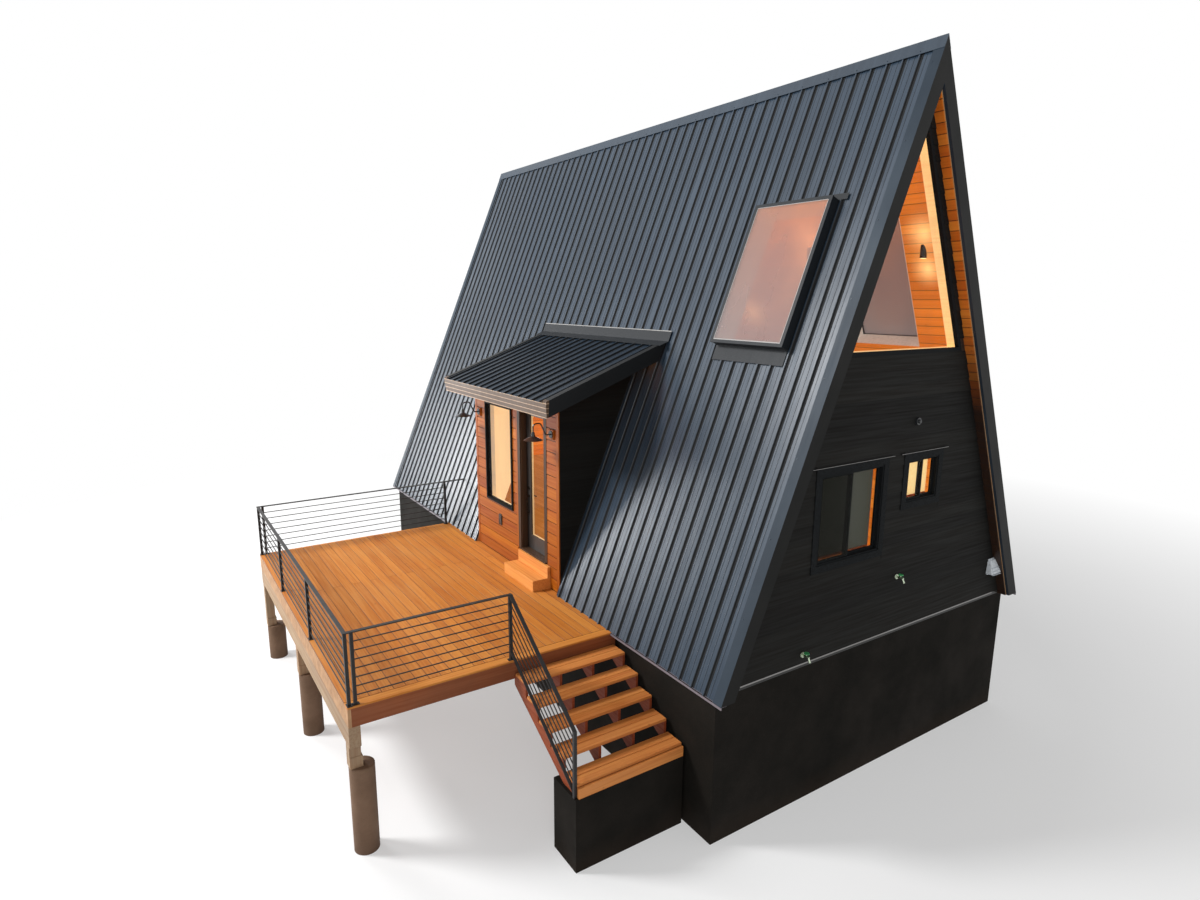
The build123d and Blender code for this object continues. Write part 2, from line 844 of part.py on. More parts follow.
leaf_knuckles = [
    hinge_knuckle(z - knuckle / 2 + hinge_play, z + knuckle / 2 - hinge_play, 1)
    for z in hinge_heights
]
jamb_knuckles = []
for z in hinge_heights:
    jamb_knuckles.append(hinge_knuckle(z - hinge_height / 2, z - knuckle / 2, -1))
    jamb_knuckles.append(hinge_knuckle(z + knuckle / 2, z + hinge_height / 2, -1))

light_size = (leaf_width - 2 * door_stile, leaf_height - door_top_rail - door_bottom_rail)
light_middle = (door_middle, leaf_low + door_bottom_rail + light_size[1] / 2)
with BuildPart() as door_leaf:
    with BuildSketch(along(leaf_x)):
        with Locations((door_middle, leaf_low + leaf_height / 2)):
            Rectangle(leaf_width, leaf_height)
        with Locations(light_middle):
            Rectangle(*light_size, mode=Mode.SUBTRACT)
    extrude(amount=door_thickness)
    with BuildSketch(along(leaf_x - light_bead[1])):
        with Locations(light_middle):
            Rectangle(light_size[0] + 2 * light_bead[0], light_size[1] + 2 * light_bead[0])
            Rectangle(*light_size, mode=Mode.SUBTRACT)
    extrude(amount=door_thickness + 2 * light_bead[1])
    add(leaf_knuckles)
parts["door_leaf"] = door_leaf.part

jamb_strap = hinge_strap[0] - hinge_radius - hinge_play
with BuildPart() as door_hinges:
    add(jamb_knuckles)
    for z in hinge_heights:
        with BuildSketch(level(z - hinge_height / 2)):
            with Locations(
                (
                    hinge_x - hinge_radius + hinge_strap[1] / 2,
                    hinge_y - hinge_strap[0] + jamb_strap / 2,
                )
            ):
                Rectangle(hinge_strap[1], jamb_strap)
        extrude(amount=hinge_height)
parts["door_hinges"] = door_hinges.part

with BuildPart() as door_glass:
    with BuildSketch(along(leaf_x + door_glass_setback)):
        with Locations(light_middle):
            Rectangle(*light_size)
    extrude(amount=glass_thickness)
parts["door_glass"] = door_glass.part

# Handle set: a grip outside, a lever inside and a deadbolt through the leaf above them
handle_y = door_middle + leaf_width / 2 - handle_backset
handle_z = floor_top + handle_height
grip_foot = handle_z - handle_grip_drop
faces = ((leaf_x, -1), (leaf_x + door_thickness, 1))
with BuildPart() as door_handle:
    for face, outward in faces:
        with BuildSketch(along(face)):
            with Locations((handle_y, handle_z)):
                Circle(handle_rose)
        extrude(amount=outward * handle_lever[2])
        with BuildSketch(along(face)):
            with Locations((handle_y, handle_z)):
                Circle(handle_lever[1] / 2)
        extrude(amount=outward * handle_neck)
        with BuildSketch(along(face)):
            with Locations((handle_y, handle_z + deadbolt_rise)):
                Circle(deadbolt_rose[0])
        extrude(amount=outward * deadbolt_rose[1])
    with BuildSketch(along(leaf_x + door_thickness + handle_neck)):
        with Locations((handle_y - handle_lever[0] / 2, handle_z)):
            Rectangle(handle_lever[0], handle_lever[1])
    extrude(amount=-handle_lever[2])
    with BuildSketch(along(leaf_x + door_thickness)):
        with Locations((handle_y, handle_z + deadbolt_rise)):
            Rectangle(deadbolt_turn[0], deadbolt_turn[1])
    extrude(amount=deadbolt_turn[2])
    with BuildSketch(along(leaf_x)):
        with Locations((handle_y, grip_foot)):
            Circle(handle_grip[0] / 2)
    extrude(amount=-handle_neck)
    with BuildSketch(along(leaf_x - handle_neck)):
        with Locations((handle_y, (handle_z + grip_foot) / 2)):
            Rectangle(handle_grip[0], handle_grip_drop + handle_grip[0])
    extrude(amount=handle_grip[1])
parts["door_handle"] = door_handle.part

# Two steps up to the door
parts["entry_steps"] = gable_slab(
    door_opening_front - step_before_door,
    [
        (-entry_wall_x, 0),
        (-entry_wall_x - step_reach, 0),
        (-entry_wall_x - step_reach, sill_height / 2),
        (-entry_wall_x - step_landing, sill_height / 2),
        (-entry_wall_x - step_landing, sill_height),
        (-entry_wall_x, sill_height),
    ],
    step_width,
)

# Deck: boards as one slab, a frame of joists, a beam on posts and round piers
parts["deck_surface"] = block((-deck_reach, deck_front, -deck_board), (-foundation_half, deck_back, 0))

joist_low = -deck_board - deck_joist[1]
joist_spacing = (deck_depth - deck_joist[0]) / deck_joist_bays
frame_width = deck_reach - foundation_half
with BuildPart() as deck_frame:
    with BuildSketch(level(joist_low)):
        with Locations((-foundation_half - frame_width / 2, deck_front + deck_depth / 2)):
            Rectangle(frame_width, deck_depth)
            with GridLocations(1, joist_spacing, 1, deck_joist_bays):
                Rectangle(
                    frame_width - 2 * deck_joist[0], joist_spacing - deck_joist[0], mode=Mode.SUBTRACT
                )
    extrude(amount=deck_joist[1])
parts["deck_frame"] = deck_frame.part

beam_low = joist_low - deck_beam_size[1]
parts["deck_beam"] = block(
    (-deck_reach, deck_front + deck_beam_inset, beam_low),
    (-deck_reach + deck_beam_size[0], deck_back - deck_beam_inset, joist_low),
)

post_x = -deck_reach + deck_beam_size[0] / 2
pier_x = post_x + pier_radius - post_size / 2
post_spacing = (deck_depth - 2 * post_inset) / (len(pier_drops) - 1)
post_places = [deck_front + post_inset + index * post_spacing for index in range(len(pier_drops))]
with BuildPart() as deck_posts:
    for y, drop in zip(post_places, pier_drops):
        with BuildSketch(level(-drop)):
            with Locations((post_x, y)):
                Rectangle(post_size, post_size)
        extrude(amount=beam_low + drop)
        with BuildSketch(level(-drop)):
            with Locations((-deck_reach + post_base[0] / 2, y)):
                Rectangle(post_base[0], post_base[0])
        extrude(amount=post_base[1])
parts["deck_posts"] = deck_posts.part

with BuildPart() as deck_piers:
    for y, drop in zip(post_places, pier_drops):
        with BuildSketch(level(-deck_height)):
            with Locations((pier_x, y)):
                Circle(pier_radius)
        extrude(amount=deck_height - drop)
    rims = deck_piers.edges().filter_by(GeomType.CIRCLE).filter_by_position(Axis.Z, pier_edge, deck_height)
    chamfer(rims, pier_edge)
parts["deck_piers"] = deck_piers.part


# Railings: posts on plates, a flat top bar and thin level bars
bar_spacing = (rail_height - rail_top[1]) / (rail_bars + 1)
post_height = rail_height - rail_top[1]


def rail_panel(plane, posts, top_start, top_end):
    """A level railing with its bars between the end posts and a top bar of its own length."""
    with BuildPart() as panel:
        with BuildSketch(plane):
            with Locations(*[(post, post_height / 2) for post in posts]):
                Rectangle(rail_post, post_height)
        extrude(amount=rail_post / 2, both=True)
        with BuildSketch(plane):
            with Locations(*[(post, rail_plate[2] / 2) for post in posts]):
                Rectangle(rail_plate[1], rail_plate[2])
        extrude(amount=rail_plate[0] / 2, both=True)
        with BuildSketch(plane):
            with Locations(((top_start + top_end) / 2, rail_height - rail_top[1] / 2)):
                Rectangle(abs(top_end - top_start), rail_top[1])
        extrude(amount=rail_top[0] / 2, both=True)
        with BuildSketch(plane):
            for row in range(1, rail_bars + 1):
                with Locations(((posts[0] + posts[-1]) / 2, row * bar_spacing)):
                    Rectangle(abs(posts[-1] - posts[0]), rail_bar)
        extrude(amount=rail_bar / 2, both=True)
    return panel.part


plate_reach = rail_inset + (rail_plate[1] - rail_plate[0]) / 2
rail_start = deck_front + plate_reach
rail_stop = deck_back - plate_reach
left_rail_x = -deck_reach + rail_inset
left_bay = (rail_stop - rail_start) / rail_left_bays
parts["rail_left"] = rail_panel(
    along(left_rail_x),
    [rail_start + index * left_bay for index in range(rail_left_bays + 1)],
    rail_start - rail_top[0] / 2,
    rail_stop + rail_top[0] / 2,
)
corner_post_x = left_rail_x + (rail_plate[0] + rail_plate[1]) / 2
corner_top_x = left_rail_x + rail_top[0] / 2
parts["rail_front"] = rail_panel(
    across(rail_start), [corner_post_x, -rail_end], corner_top_x, rail_top[0] / 2 - rail_end
)
parts["rail_back"] = rail_panel(
    across(rail_stop),
    [corner_post_x, -rail_wall_post],
    corner_top_x,
    -half_at(rail_height - rail_top[1], 0),
)

# Stair rail: a newel at the foot, a thick top and foot rail and thin bars parallel to the flight
ground_at_stair = -tread_rise * (tread_count + 1)
newel_top = ground_at_stair + newel_height
post_face = rail_start - rail_post / 2
top_bar_face = rail_start - rail_top[0] / 2
stair_rail_slope = (rail_height - newel_top) / (top_bar_face - newel_setback)


def stair_bar(end, drop, size):
    """Outline of a bar beside the flight, from the newel to end, at a drop below the top line."""
    high = rail_height - drop + (end - top_bar_face) * stair_rail_slope
    return [
        (newel_setback, newel_top - drop),
        (end, high),
        (end, high - size),
        (newel_setback, newel_top - drop - size),
    ]


with BuildPart() as rail_stair:
    with BuildSketch(along(-rail_end)):
        with Locations((newel_setback, ground_at_stair + newel_height / 2)):
            Rectangle(rail_post, newel_height)
        with BuildLine():
            Polyline(*stair_bar(post_face, rail_height - bar_spacing, rail_top[1]), close=True)
        make_face()
    extrude(amount=rail_post / 2, both=True)
    with BuildSketch(along(-rail_end)):
        with BuildLine():
            Polyline(*stair_bar(top_bar_face, 0, rail_top[1]), close=True)
        make_face()
    extrude(amount=rail_top[0] / 2, both=True)
    with BuildSketch(along(-rail_end)):
        for row in range(2, rail_bars + 1):
            with BuildLine():
                Polyline(*stair_bar(post_face, rail_height - row * bar_spacing, rail_bar), close=True)
            make_face()
    extrude(amount=rail_bar / 2, both=True)
parts["rail_stair"] = rail_stair.part

# Stair: sawn stringers, two boards to a tread, a closed bottom riser on a footing
stair_toe = deck_front - tread_count * tread_run


def tread_front(number):
    return deck_front - number * tread_run


saw_tooth = []
for number in range(1, tread_count + 1):
    under = -number * tread_rise - tread_board[1]
    saw_tooth += [(tread_front(number - 1), under), (tread_front(number), under)]
fall = tread_rise / tread_run
heel = stair_toe + tread_run
stringer_outline = saw_tooth + [
    (stair_toe, ground_at_stair),
    (heel, ground_at_stair),
    (deck_front, ground_at_stair + (deck_front - heel) * fall),
]
stringer_spacing = (stair_width - stringer_thickness) / (stringer_count - 1)
with BuildPart() as stair_stringers:
    for index in range(stringer_count):
        with BuildSketch(along(-stair_inner - stringer_thickness - index * stringer_spacing)):
            with BuildLine():
                Polyline(*stringer_outline, close=True)
            make_face()
        extrude(amount=stringer_thickness)
parts["stair_stringers"] = stair_stringers.part

stair_middle = -stair_inner - stair_width / 2
with BuildPart() as stair_treads:
    for number in range(1, tread_count + 1):
        with BuildSketch(level(-number * tread_rise - tread_board[1])):
            for board in range(2):
                offset = tread_board[0] / 2 + board * (tread_board[0] + tread_gap)
                with Locations((stair_middle, tread_front(number) + offset)):
                    Rectangle(stair_width, tread_board[0])
        extrude(amount=tread_board[1])
parts["stair_treads"] = stair_treads.part

parts["stair_riser"] = block(
    (-stair_inner - stair_width, stair_toe - tread_board[1], ground_at_stair),
    (-stair_inner, stair_toe, -tread_count * tread_rise - tread_board[1]),
)
parts["stair_footing"] = block(
    (-rail_end - rail_post / 2, stair_toe - tread_board[1], -deck_height),
    (-stair_inner, stair_toe - tread_board[1] + footing_depth, ground_at_stair),
)

# Gooseneck lamps with spun shades, on blocks at both ends of the entry wall
lamp_foot_x = -entry_wall_x - lamp_block[2]
lamp_axis_x = -entry_wall_x - lamp_reach
lamp_neck = lamp_height + lamp_collar_height
lamp_low = lamp_height - lamp_plate
lamp_places = (entry_front + lamp_from_corner, entry_back - lamp_from_corner)
with BuildPart() as lamp_blocks:
    with BuildSketch(along(-entry_wall_x)):
        with Locations(*[(y, lamp_height) for y in lamp_places]):
            Rectangle(lamp_block[0], lamp_block[1])
    extrude(amount=-lamp_block[2])
parts["lamp_blocks"] = lamp_blocks.part

with BuildPart() as barn_lights:
    for y in lamp_places:
        with BuildSketch(along(lamp_foot_x)):
            with Locations((y, lamp_height)):
                Circle(lamp_plate)
        extrude(amount=-lamp_pipe)
    for y in lamp_places:
        with BuildLine(across(y)) as arm:
            FilletPolyline(
                (lamp_foot_x, lamp_height),
                (lamp_foot_x - lamp_bend, lamp_height),
                (lamp_foot_x - 2 * lamp_bend, lamp_height + lamp_rise),
                (lamp_axis_x, lamp_height + lamp_rise),
                (lamp_axis_x, lamp_neck - lamp_pipe),
                radius=lamp_fillet,
            )
        with BuildSketch(Plane(origin=arm.line @ 0, z_dir=arm.line % 0)):
            RegularPolygon(lamp_pipe, lamp_pipe_sides)
        sweep(path=arm.line)
    for y in lamp_places:
        with BuildSketch(across(y)):
            with BuildLine():
                Polyline(
                    (lamp_axis_x, lamp_neck),
                    (lamp_axis_x - lamp_collar[0], lamp_neck),
                    (lamp_axis_x - lamp_collar[1], lamp_height),
                    (lamp_axis_x - lamp_shade, lamp_low),
                    (lamp_axis_x, lamp_low),
                    close=True,
                )
            make_face()
        revolve(axis=Axis((ridge_x + lamp_axis_x, front_y + y, 0), (0, 0, 1)))
parts["barn_lights"] = barn_lights.part

os.makedirs("parts", exist_ok=True)
for label, piece in parts.items():
    piece.label = label
    export_step(piece, f"parts/{label}.step")
print(len(parts), "pieces")
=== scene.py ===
# %% [markdown]
# An a-frame cabin: two steep slopes of ribbed metal that reach down to the eaves, a glazed front
# gable, a side entry under a small shed roof and a timber deck on piers. The solid model already
# stands in the frame, in metres. This script dresses it: it keeps every solid where it is, adds the
# boards, screws and trims that are too fine for the solid model, and gives each piece its finish.

# %% Load the cabin
import json
import math
import random

import bmesh
import bpy
from mathutils import Matrix, Vector


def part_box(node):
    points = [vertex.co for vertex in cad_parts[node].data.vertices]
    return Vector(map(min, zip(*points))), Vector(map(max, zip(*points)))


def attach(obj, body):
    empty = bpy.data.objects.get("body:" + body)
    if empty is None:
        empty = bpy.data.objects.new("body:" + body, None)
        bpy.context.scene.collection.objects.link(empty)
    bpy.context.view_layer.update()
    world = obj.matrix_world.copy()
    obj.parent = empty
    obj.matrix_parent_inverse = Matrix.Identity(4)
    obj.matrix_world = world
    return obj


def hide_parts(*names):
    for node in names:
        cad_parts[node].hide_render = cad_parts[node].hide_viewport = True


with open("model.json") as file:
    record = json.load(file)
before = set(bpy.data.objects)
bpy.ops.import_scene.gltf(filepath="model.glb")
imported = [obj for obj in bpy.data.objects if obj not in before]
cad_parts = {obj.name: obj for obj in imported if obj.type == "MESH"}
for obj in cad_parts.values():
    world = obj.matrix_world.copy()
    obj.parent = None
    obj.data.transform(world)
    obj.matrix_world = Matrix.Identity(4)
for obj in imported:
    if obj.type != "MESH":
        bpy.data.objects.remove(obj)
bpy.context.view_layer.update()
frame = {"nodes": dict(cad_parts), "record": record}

nodes = frame["nodes"]
slot_of = {part["node"]: part["material_slot"] for part in frame["record"]["subparts"]}

# %% [markdown]
# Every height and distance below is worked out from the solids. The deck surface lies level with the
# eaves, the ridge runs along Y over the middle of the slopes, and the front rake is the plane that
# the front gable faces from. Two small helpers turn "so far from the ridge, so far behind the rake,
# so high above the deck" into a point of the frame.

# %% Reference planes
eave_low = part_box("rake_front_left")[0]
eave_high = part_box("rake_front_right")[1]
ridge_x = (eave_low.x + eave_high.x) / 2
front_y = eave_low.y
back_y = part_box("rake_back_left")[1].y
deck_z = eave_low.z
half_width = eave_high.x - ridge_x
ridge_rise = eave_high.z - deck_z
length = back_y - front_y
pitch = math.atan2(ridge_rise, half_width)
slope_length = math.hypot(half_width, ridge_rise)


def spot(x, y, z):
    """A point from the ridge plane, the front rake and the deck surface."""
    return Vector((ridge_x + x, front_y + y, deck_z + z))


origin = spot(0, 0, 0)
print("ridge over x", round(ridge_x, 3), "pitch", round(math.degrees(pitch), 1))

# %% [markdown]
# Finishes are node trees, and long trees are easier to read as formulas. A Wire stands for one
# output of a node, so that adding or multiplying wires adds the Math nodes.


# %% Wires
class Wire:
    """One output of a node, with arithmetic."""

    def __init__(self, nodes, socket):
        self.nodes = nodes
        self.socket = socket

    def math(self, operation, *values):
        return self.nodes.node("ShaderNodeMath", {"operation": operation}, dict(enumerate(values)))

    def wrapped(self, period):
        """The distance past the last whole period, as a saw-tooth."""
        return self.math("FLOORED_MODULO", self, period)

    def distance(self):
        return self.math("ABSOLUTE", self)


def sign_method(operation, swapped=False):
    """The method that lets a sign, such as plus, add a Math node."""
    def method(self, other):
        return self.math(operation, *((other, self) if swapped else (self, other)))
    return method


signs = {"add": "ADD", "sub": "SUBTRACT", "mul": "MULTIPLY", "truediv": "DIVIDE", "pow": "POWER"}
for sign, operation in (signs | {"lt": "LESS_THAN", "gt": "GREATER_THAN"}).items():
    setattr(Wire, f"__{sign}__", sign_method(operation))
for sign, operation in signs.items():
    setattr(Wire, f"__r{sign}__", sign_method(operation, swapped=True))
print("wires take", *signs)

# %% [markdown]
# Nodes stands for a tree: its method `node` makes any node from its kind, its settings and its
# inputs. A Finish is the tree of one material, and its other methods are the few patterns that all
# recipes below are made of. Colours are written as they are seen, from 0 to 255.


# %% Trees and finishes
def linear(level):
    """A colour's level as it is seen, from 0 to 255, made linear for the shader."""
    level = level / 255
    return level / 12.92 if level <= 0.04045 else ((level + 0.055) / 1.055) ** 2.4


def shader_colour(colour):
    """Three values are a colour as it is seen; four are linear already."""
    return (*map(linear, colour), 1) if len(colour) == 3 else colour


class Nodes:
    """A node tree that short calls fill."""

    def __init__(self, tree):
        self.tree = tree

    def socket(self, sockets, key):
        if isinstance(key, int):
            return sockets[key]
        named = [socket for socket in sockets if socket.identifier == key]
        return named[0] if named else sockets[key]

    def node(self, kind, settings=None, inputs=None, output=0):
        made = self.tree.nodes.new(kind)
        for label, value in (settings or {}).items():
            if label == "stops":
                self.set_stops(made.color_ramp, value)
            else:
                setattr(made, label, value)
        for key, value in (inputs or {}).items():
            self.feed(self.socket(made.inputs, key), value)
        return Wire(self, self.socket(made.outputs, output))

    def set_stops(self, ramp, stops):
        while len(ramp.elements) < len(stops):
            ramp.elements.new(1)
        for element, (place, colour) in zip(ramp.elements, stops):
            element.position = place
            element.color = shader_colour(colour)

    def feed(self, socket, value):
        if isinstance(value, Wire):
            self.tree.links.new(value.socket, socket)
        else:
            socket.default_value = shader_colour(value) if socket.type == "RGBA" else value

    def spread(self, value, low, high, to_low=0.0, to_high=1.0):
        """Stretches the range low to high over a new range and clips what lies outside."""
        inputs = {"Value": value, "From Min": low, "From Max": high, "To Min": to_low, "To Max": to_high}
        return self.node("ShaderNodeMapRange", {"clamp": True}, inputs, "Result")


class Finish(Nodes):
    """One material, with its shader's constants set as it is made."""

    def __init__(self, name, **constants):
        self.material = bpy.data.materials.new(name)
        self.material.use_nodes = True
        super().__init__(self.material.node_tree)
        self.shader = self.tree.nodes["Principled BSDF"]
        self.coordinates = None
        self.set(**constants)

    def set(self, **values):
        for label, value in values.items():
            label = label.replace("_", " ").title().replace("Ior", "IOR")
            self.feed(self.shader.inputs[label], value)
        return self

    def place(self, stretch=(1, 1, 1)):
        """The point on the surface in the frame, stretched for a pattern."""
        if self.coordinates is None:
            self.coordinates = self.node("ShaderNodeTexCoord", output="Object")
        return self.node("ShaderNodeMapping", None, {"Vector": self.coordinates, "Scale": stretch})

    def axis(self, label, vector=None):
        return self.node("ShaderNodeSeparateXYZ", None, {"Vector": vector or self.place()}, label)

    def above_deck(self):
        return self.axis("Z") - deck_z

    def facing(self, label):
        """How squarely the surface faces along an axis, from 0 to 1."""
        return self.axis(label, self.node("ShaderNodeNewGeometry", output="True Normal")).distance()

    def vector(self, operation, first, second, output=0):
        inputs = {0: first, 1: second}
        return self.node("ShaderNodeVectorMath", {"operation": operation}, inputs, output)

    def away_from(self, point):
        return self.vector("DISTANCE", self.place(), point, "Value")

    def noise(self, scale, detail=3, rough=0.5, stretch=(1, 1, 1)):
        inputs = {"Vector": self.place(stretch), "Scale": scale, "Detail": detail, "Roughness": rough}
        return self.node("ShaderNodeTexNoise", None, inputs, "Fac")

    def clouds(self, low, high, scale, detail=3, rough=0.5, stretch=(1, 1, 1)):
        """Noise, stretched to run from 0 to 1 between two of its levels."""
        return self.spread(self.noise(scale, detail, rough, stretch), low, high)

    def ramp(self, value, *stops):
        return self.node("ShaderNodeValToRGB", {"stops": stops}, {"Fac": value}, "Color")

    def mix(self, share, first, second, blend="MIX"):
        settings = {"data_type": "RGBA", "blend_type": blend}
        inputs = {"Factor_Float": share, "A_Color": first, "B_Color": second}
        return self.node("ShaderNodeMix", settings, inputs, "Result_Color")

    def bump(self, height, strength, depth):
        inputs = {"Height": height, "Strength": strength, "Distance": depth}
        return self.node("ShaderNodeBump", None, inputs, "Normal")


print("trees and finishes ready")

# %% [markdown]
# The fine pieces are boards, strips, screws and panels. Each one starts as a cube, a cone or a grid
# from a bmesh operator and is laid into a local frame, so that a wall, a slope and the deck can all
# be dressed by the same few helpers. A board also carries a random number on its faces: the wood
# finish reads it to give every board its own tone.


# %% Local frames
def frame_at(place, along, up, out):
    """A local frame: x runs along a wall or slope, y up it and z out of it."""
    return Matrix.Translation(place) @ Matrix((along, up, out)).transposed().to_4x4()


def slope(side):
    """Along the eave from the front rake, up the slope and out from the tops of the ribs."""
    rise = (-side * math.cos(pitch), 0, math.sin(pitch))
    out = (side * math.sin(pitch), 0, math.cos(pitch))
    return frame_at(spot(side * half_width, 0, 0), (0, 1, 0), rise, out)


def reach(node):
    """The corners of a solid, from the ridge, the rake and the deck."""
    low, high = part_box(node)
    return low - origin, high - origin


def half_at(height, depth=0.0):
    """Half the width of the A at a height, at a depth below the rib tops."""
    return half_width * (1 - height / ridge_rise) - depth / math.sin(pitch)


left, right = -1, 1
level = frame_at(origin, (1, 0, 0), (0, 1, 0), (0, 0, 1))
print("slope length", round(slope_length, 3))

# %% [markdown]
# One random sequence numbers the boards, so every run gives each board the same tone.

# %% Boards and strips
draw = random.Random(7)
smallest_gap = 0.004


def blank():
    """An empty bmesh whose faces can carry a board's number."""
    mesh = bmesh.new()
    mesh.faces.layers.float.new("board")
    return mesh


def number(mesh, corners):
    """Gives the faces of one board a random number of their own."""
    value = draw.random()
    layer = mesh.faces.layers.float["board"]
    for face in {face for corner in corners for face in corner.link_faces}:
        face[layer] = value


def brick(mesh, place, low, high, taper=0.0):
    """A box between two corners of a local frame; taper draws its outer face in along x."""
    corners = bmesh.ops.create_cube(mesh, size=1)["verts"]
    for corner in corners:
        outer = corner.co.z > 0
        x = high[0] - taper * outer if corner.co.x > 0 else low[0] + taper * outer
        y = high[1] if corner.co.y > 0 else low[1]
        corner.co = place @ Vector((x, y, high[2] if outer else low[2]))
    number(mesh, corners)


def plank(mesh, place, bottom, top, back=0.0):
    """A board from its lower to its upper edge, each given as (start, end, height, thickness)."""
    corners = bmesh.ops.create_cube(mesh, size=1)["verts"]
    for corner in corners:
        start, end, height, thick = top if corner.co.y > 0 else bottom
        x = end if corner.co.x > 0 else start
        corner.co = place @ Vector((x, height, thick if corner.co.z > 0 else back))
    number(mesh, corners)


def rod(mesh, place, low, high, radius, segments=12, tip=None):
    """A round bar or cone between two points of a local frame."""
    low, high = place @ Vector(low), place @ Vector(high)
    axis = high - low
    turn = axis.to_track_quat("Z", "Y").to_matrix().to_4x4()
    made = bmesh.ops.create_cone(
        mesh,
        cap_ends=True,
        segments=segments,
        radius1=radius,
        radius2=radius if tip is None else tip,
        depth=axis.length,
        matrix=Matrix.Translation((low + high) / 2) @ turn,
    )
    number(mesh, made["verts"])


def free_rows(low, high, start, end, holes):
    """What is left of a row between start and end when holes (low, high, start, end) are cut out."""
    stops = {start, end}
    for hole in holes:
        if hole[0] < high and hole[1] > low:
            stops |= {stop for stop in hole[2:] if start < stop < end}
    stops = sorted(stops)
    left_over = []
    for first, last in zip(stops, stops[1:]):
        spans = [(low, high)]
        for hole in holes:
            if hole[2] < last and hole[3] > first:
                cut = []
                for foot, head in spans:
                    cut += [(foot, min(head, hole[0])), (max(foot, hole[1]), head)]
                spans = [span for span in cut if span[1] - span[0] > smallest_gap]
        left_over += [(foot, head, first, last) for foot, head in spans]
    return left_over


print("boards and rods ready")

# %% [markdown]
# A bmesh becomes a piece once it has an object, a finish and a body to ride on. Some pieces are copies of
# solids or end where a solid does, so the solids are measured here too.

# %% Pieces and solids
sharp_angle = math.radians(40)


def piece(name, mesh, finish, body="cabin", hides=(), edge=0.0, smooth=False):
    """Turns a bmesh into a finished piece that rides on a body."""
    bmesh.ops.recalc_face_normals(mesh, faces=mesh.faces)
    made = bpy.data.objects.new(name, bpy.data.meshes.new(name))
    mesh.to_mesh(made.data)
    mesh.free()
    bpy.context.scene.collection.objects.link(made)
    made.data.materials.append(finish.material)
    if smooth:
        made.data.shade_smooth()
        made.data.set_sharp_from_angle(angle=sharp_angle)
    if edge:
        softened = made.modifiers.new("edge", "BEVEL")
        softened.width = edge
        softened.segments = 1
        softened.limit_method = "ANGLE"
    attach(made, body)
    if hides:
        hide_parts(*hides)
    print(name, len(made.data.polygons), "faces")


def merged(source):
    """A welded copy of a solid, with flat faces made whole again."""
    mesh = bmesh.new()
    mesh.from_mesh(nodes[source].data)
    bmesh.ops.remove_doubles(mesh, verts=mesh.verts, dist=0.0002)
    bmesh.ops.dissolve_limit(mesh, angle_limit=math.radians(1), verts=mesh.verts, edges=mesh.edges)
    return mesh


def solids_in(mesh):
    """The corners of each separate solid of a mesh, in the order of the places they start at."""
    waiting = set(mesh.faces)
    solids = []
    while waiting:
        island = [waiting.pop()]
        for face in island:
            near = {other for side in face.edges for other in side.link_faces} & waiting
            waiting -= near
            island += near
        solids.append(list({corner for face in island for corner in face.verts}))
    return sorted(solids, key=lambda corners: min(tuple(corner.co) for corner in corners))


def box_of(points):
    """The lowest and the highest corner around some points."""
    return [Vector([edge(point[axis] for point in points) for axis in range(3)]) for edge in (min, max)]


def solid_boxes(source):
    """The box of each solid of a node, from the ridge, the rake and the deck."""
    mesh = merged(source)
    found = [box_of([corner.co - origin for corner in corners]) for corners in solids_in(mesh)]
    mesh.free()
    return sorted(found, key=lambda pair: tuple(pair[0]))


def trim_off(mesh, point, normal):
    """Cuts away what lies beyond a plane and closes the cut boards."""
    everything = mesh.verts[:] + mesh.edges[:] + mesh.faces[:]
    bmesh.ops.bisect_plane(mesh, geom=everything, plane_co=point, plane_no=normal, clear_outer=True)
    bmesh.ops.holes_fill(mesh, edges=mesh.edges, sides=0)


print("pieces and copies ready")

# %% [markdown]
# Nearly half of what shows is wood: smooth orange boards inside, lapped boards on the entry, worn
# planks on the deck. They differ in tone and wear, not in how they grow, so one recipe serves them
# all. Noise that is stretched along the board gives the grain, a cell pattern gives knots, and each
# board is shifted to its own place in the pattern. Separate boards carry their number on their
# faces. On a large solid the rows are drawn instead, by cutting a coordinate into steps.


# %% Wood
def even_stops(tones):
    return [(index / (len(tones) - 1), tone) for index, tone in enumerate(tones)]


